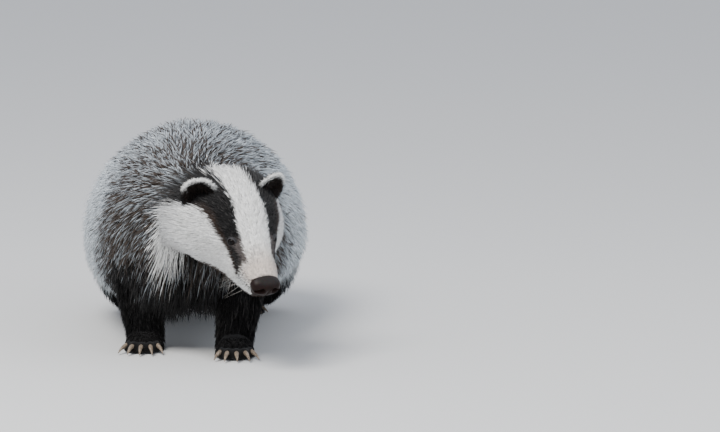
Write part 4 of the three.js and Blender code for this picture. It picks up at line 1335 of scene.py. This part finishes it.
# %% Mouth line, whiskers and claws
mouth_t = np.linspace(-1, 1, 61)
mouth_u = 0.775 + 0.19 * np.clip((1 - np.abs(mouth_t)) / 0.8, 0, 1)
mouth_angle = np.where(mouth_t > 0, math.radians(-50), math.radians(230))
sides_path = spine_point(mouth_u, mouth_angle, 0.35)
front_path = on_head(8 * mouth_t / 0.2, 98 + 0 * mouth_t, -42 + 1.0 * (1 - np.abs(mouth_t) / 0.2))
blend = smooth(np.abs(mouth_t), 0.12, 0.28)[:, None]
mouth_path = front_path * (1 - blend) + sides_path * blend
mouth_radius = 1.1 * np.sqrt(np.clip(1 - np.abs(mouth_t) ** 3, 0.02, 1))
add_tubes("mouth_line", mouth_path[None], mouth_radius[None], 8, lip_material)


def whisker_paths(side, count):
    """Curved bristles on the side of the muzzle: out, then back and down as the square of the way."""
    forward = rng.uniform(68, 90, count)
    angle = np.radians(rng.uniform(-40, -5, count))
    u = np.interp(forward, [56, 72, 87, 97], np.array([14, 15, 16, 17]) / 17)
    angle = angle if side > 0 else math.pi - angle
    root = spine_point(u, angle, 0.9)
    out = unit(root - spine_point(u, angle, 3.0))
    length = rng.uniform(12, 24, count)[:, None, None]
    t = np.linspace(0, 1, 9)[None, :, None]
    back = unit(on_head(0.0, -1.0, -0.25) - on_head(0.0, 0.0, 0.0))
    way = unit(out + rng.normal(0, 0.18, out.shape) + 0.35 * back)
    return root[:, None] + length * (way[:, None] * t + (0.42 * back + np.array([0, 0, -0.30])) * t**2)


whiskers = np.concatenate([whisker_paths(1, 10), whisker_paths(-1, 10)])
taper = np.linspace(1, 0.2, 9)[None, :] * np.full((len(whiskers), 1), 0.13)
add_tubes("whiskers", whiskers, taper, 4, whisker_material)

claw_paths, claw_radii = [], []
t = np.linspace(0, 1, 14)
for leg in LEGS.values():
    turn, place = foot_frame(leg)
    foot = leg["foot"]
    for i, reach in enumerate(foot["reach"]):
        fan = turn @ turn_about("Z", math.radians(leg["side"] * (i - 2) * foot["spread"]))
        root = np.array([0, foot["at"][1] - reach - foot["toe"][1] / 2, foot["toe"][2] + 0.6])
        ahead = -foot["claw"] * np.sin(CLAW_BEND * t) / CLAW_BEND
        fall = foot["claw"] * (np.cos(CLAW_BEND * t) - 1) / CLAW_BEND
        line = root + np.stack([0 * t, ahead, fall], -1)
        claw_paths.append(line @ fan.T + place)
        claw_radii.append(foot["thick"] * (1 - 0.82 * t**1.4))
add_tubes("claws", np.array(claw_paths), np.array(claw_radii), 12, claw_material)
print("claws:", len(claw_paths), "whiskers:", len(whiskers))

# %% [markdown]
# ## Light and camera
# Soft light comes from a large lamp above and in front, with a paler one from the right, over a
# pale floor. The camera looks from the front, eight degrees above level, from six metres away
# with a long lens, as the photograph does.

# %% Floor, lamps and camera
corners = 9000.0 * np.array([[-1, -1, 0], [1, -1, 0], [1, 1, 0], [-1, 1, 0]])
floor = make_mesh("floor", corners - SHIFT, [[0, 1, 2, 3]], False)
floor_material, nodes, links, shader = new_material("pale floor", 0.9, 0.1)
shader.inputs["Base Color"].default_value = (0.62, 0.62, 0.61, 1)
floor.data.materials.append(floor_material)
floor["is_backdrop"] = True

world = bpy.data.worlds.new("studio")
bpy.context.scene.world = world
world.use_nodes = True
world.node_tree.nodes["Background"].inputs["Color"].default_value = (0.86, 0.90, 1.0, 1)
world.node_tree.nodes["Background"].inputs["Strength"].default_value = 1.0


def add_lamp(name, at, aim, size, power, colour):
    """A square area lamp in metres that faces a point."""
    data = bpy.data.lights.new(name, "AREA")
    data.size = size
    data.energy = power
    data.color = colour
    lamp = bpy.data.objects.new(name, data)
    lamp.location = at
    way = np.array(aim) - np.array(at)
    lamp.rotation_euler = (math.atan2(math.hypot(way[0], way[1]), -way[2]), 0, math.atan2(-way[0], way[1]))
    bpy.context.collection.objects.link(lamp)


add_lamp("key", (-0.9, -1.5, 2.3), (0, 0, 0.1), 1.2, 105, (1.0, 0.98, 0.95))
add_lamp("fill", (1.9, -1.2, 1.1), (0, 0, 0.1), 1.6, 16, (0.86, 0.93, 1.0))

ELEVATION = math.radians(8)
right = np.array([1.0, 0, 0])
back = np.array([0, -math.cos(ELEVATION), math.sin(ELEVATION)])
up = np.array([0, math.sin(ELEVATION), math.cos(ELEVATION)])
camera_data = bpy.data.cameras.new("camera")
camera_data.sensor_width = 36
camera_data.lens = 300
camera_data.clip_end = 50
camera = bpy.data.objects.new("camera", camera_data)
camera.location = (right * 170 + up * 134 + back * 6000 + SHIFT) * MM
camera.rotation_euler = (math.pi / 2 - ELEVATION, 0, 0)
bpy.context.collection.objects.link(camera)
bpy.context.scene.camera = camera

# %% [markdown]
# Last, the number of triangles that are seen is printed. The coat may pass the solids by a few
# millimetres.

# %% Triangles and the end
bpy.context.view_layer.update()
triangles = sum(len(p.vertices) - 2 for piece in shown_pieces() for p in piece.data.polygons)
print("triangles:", triangles)
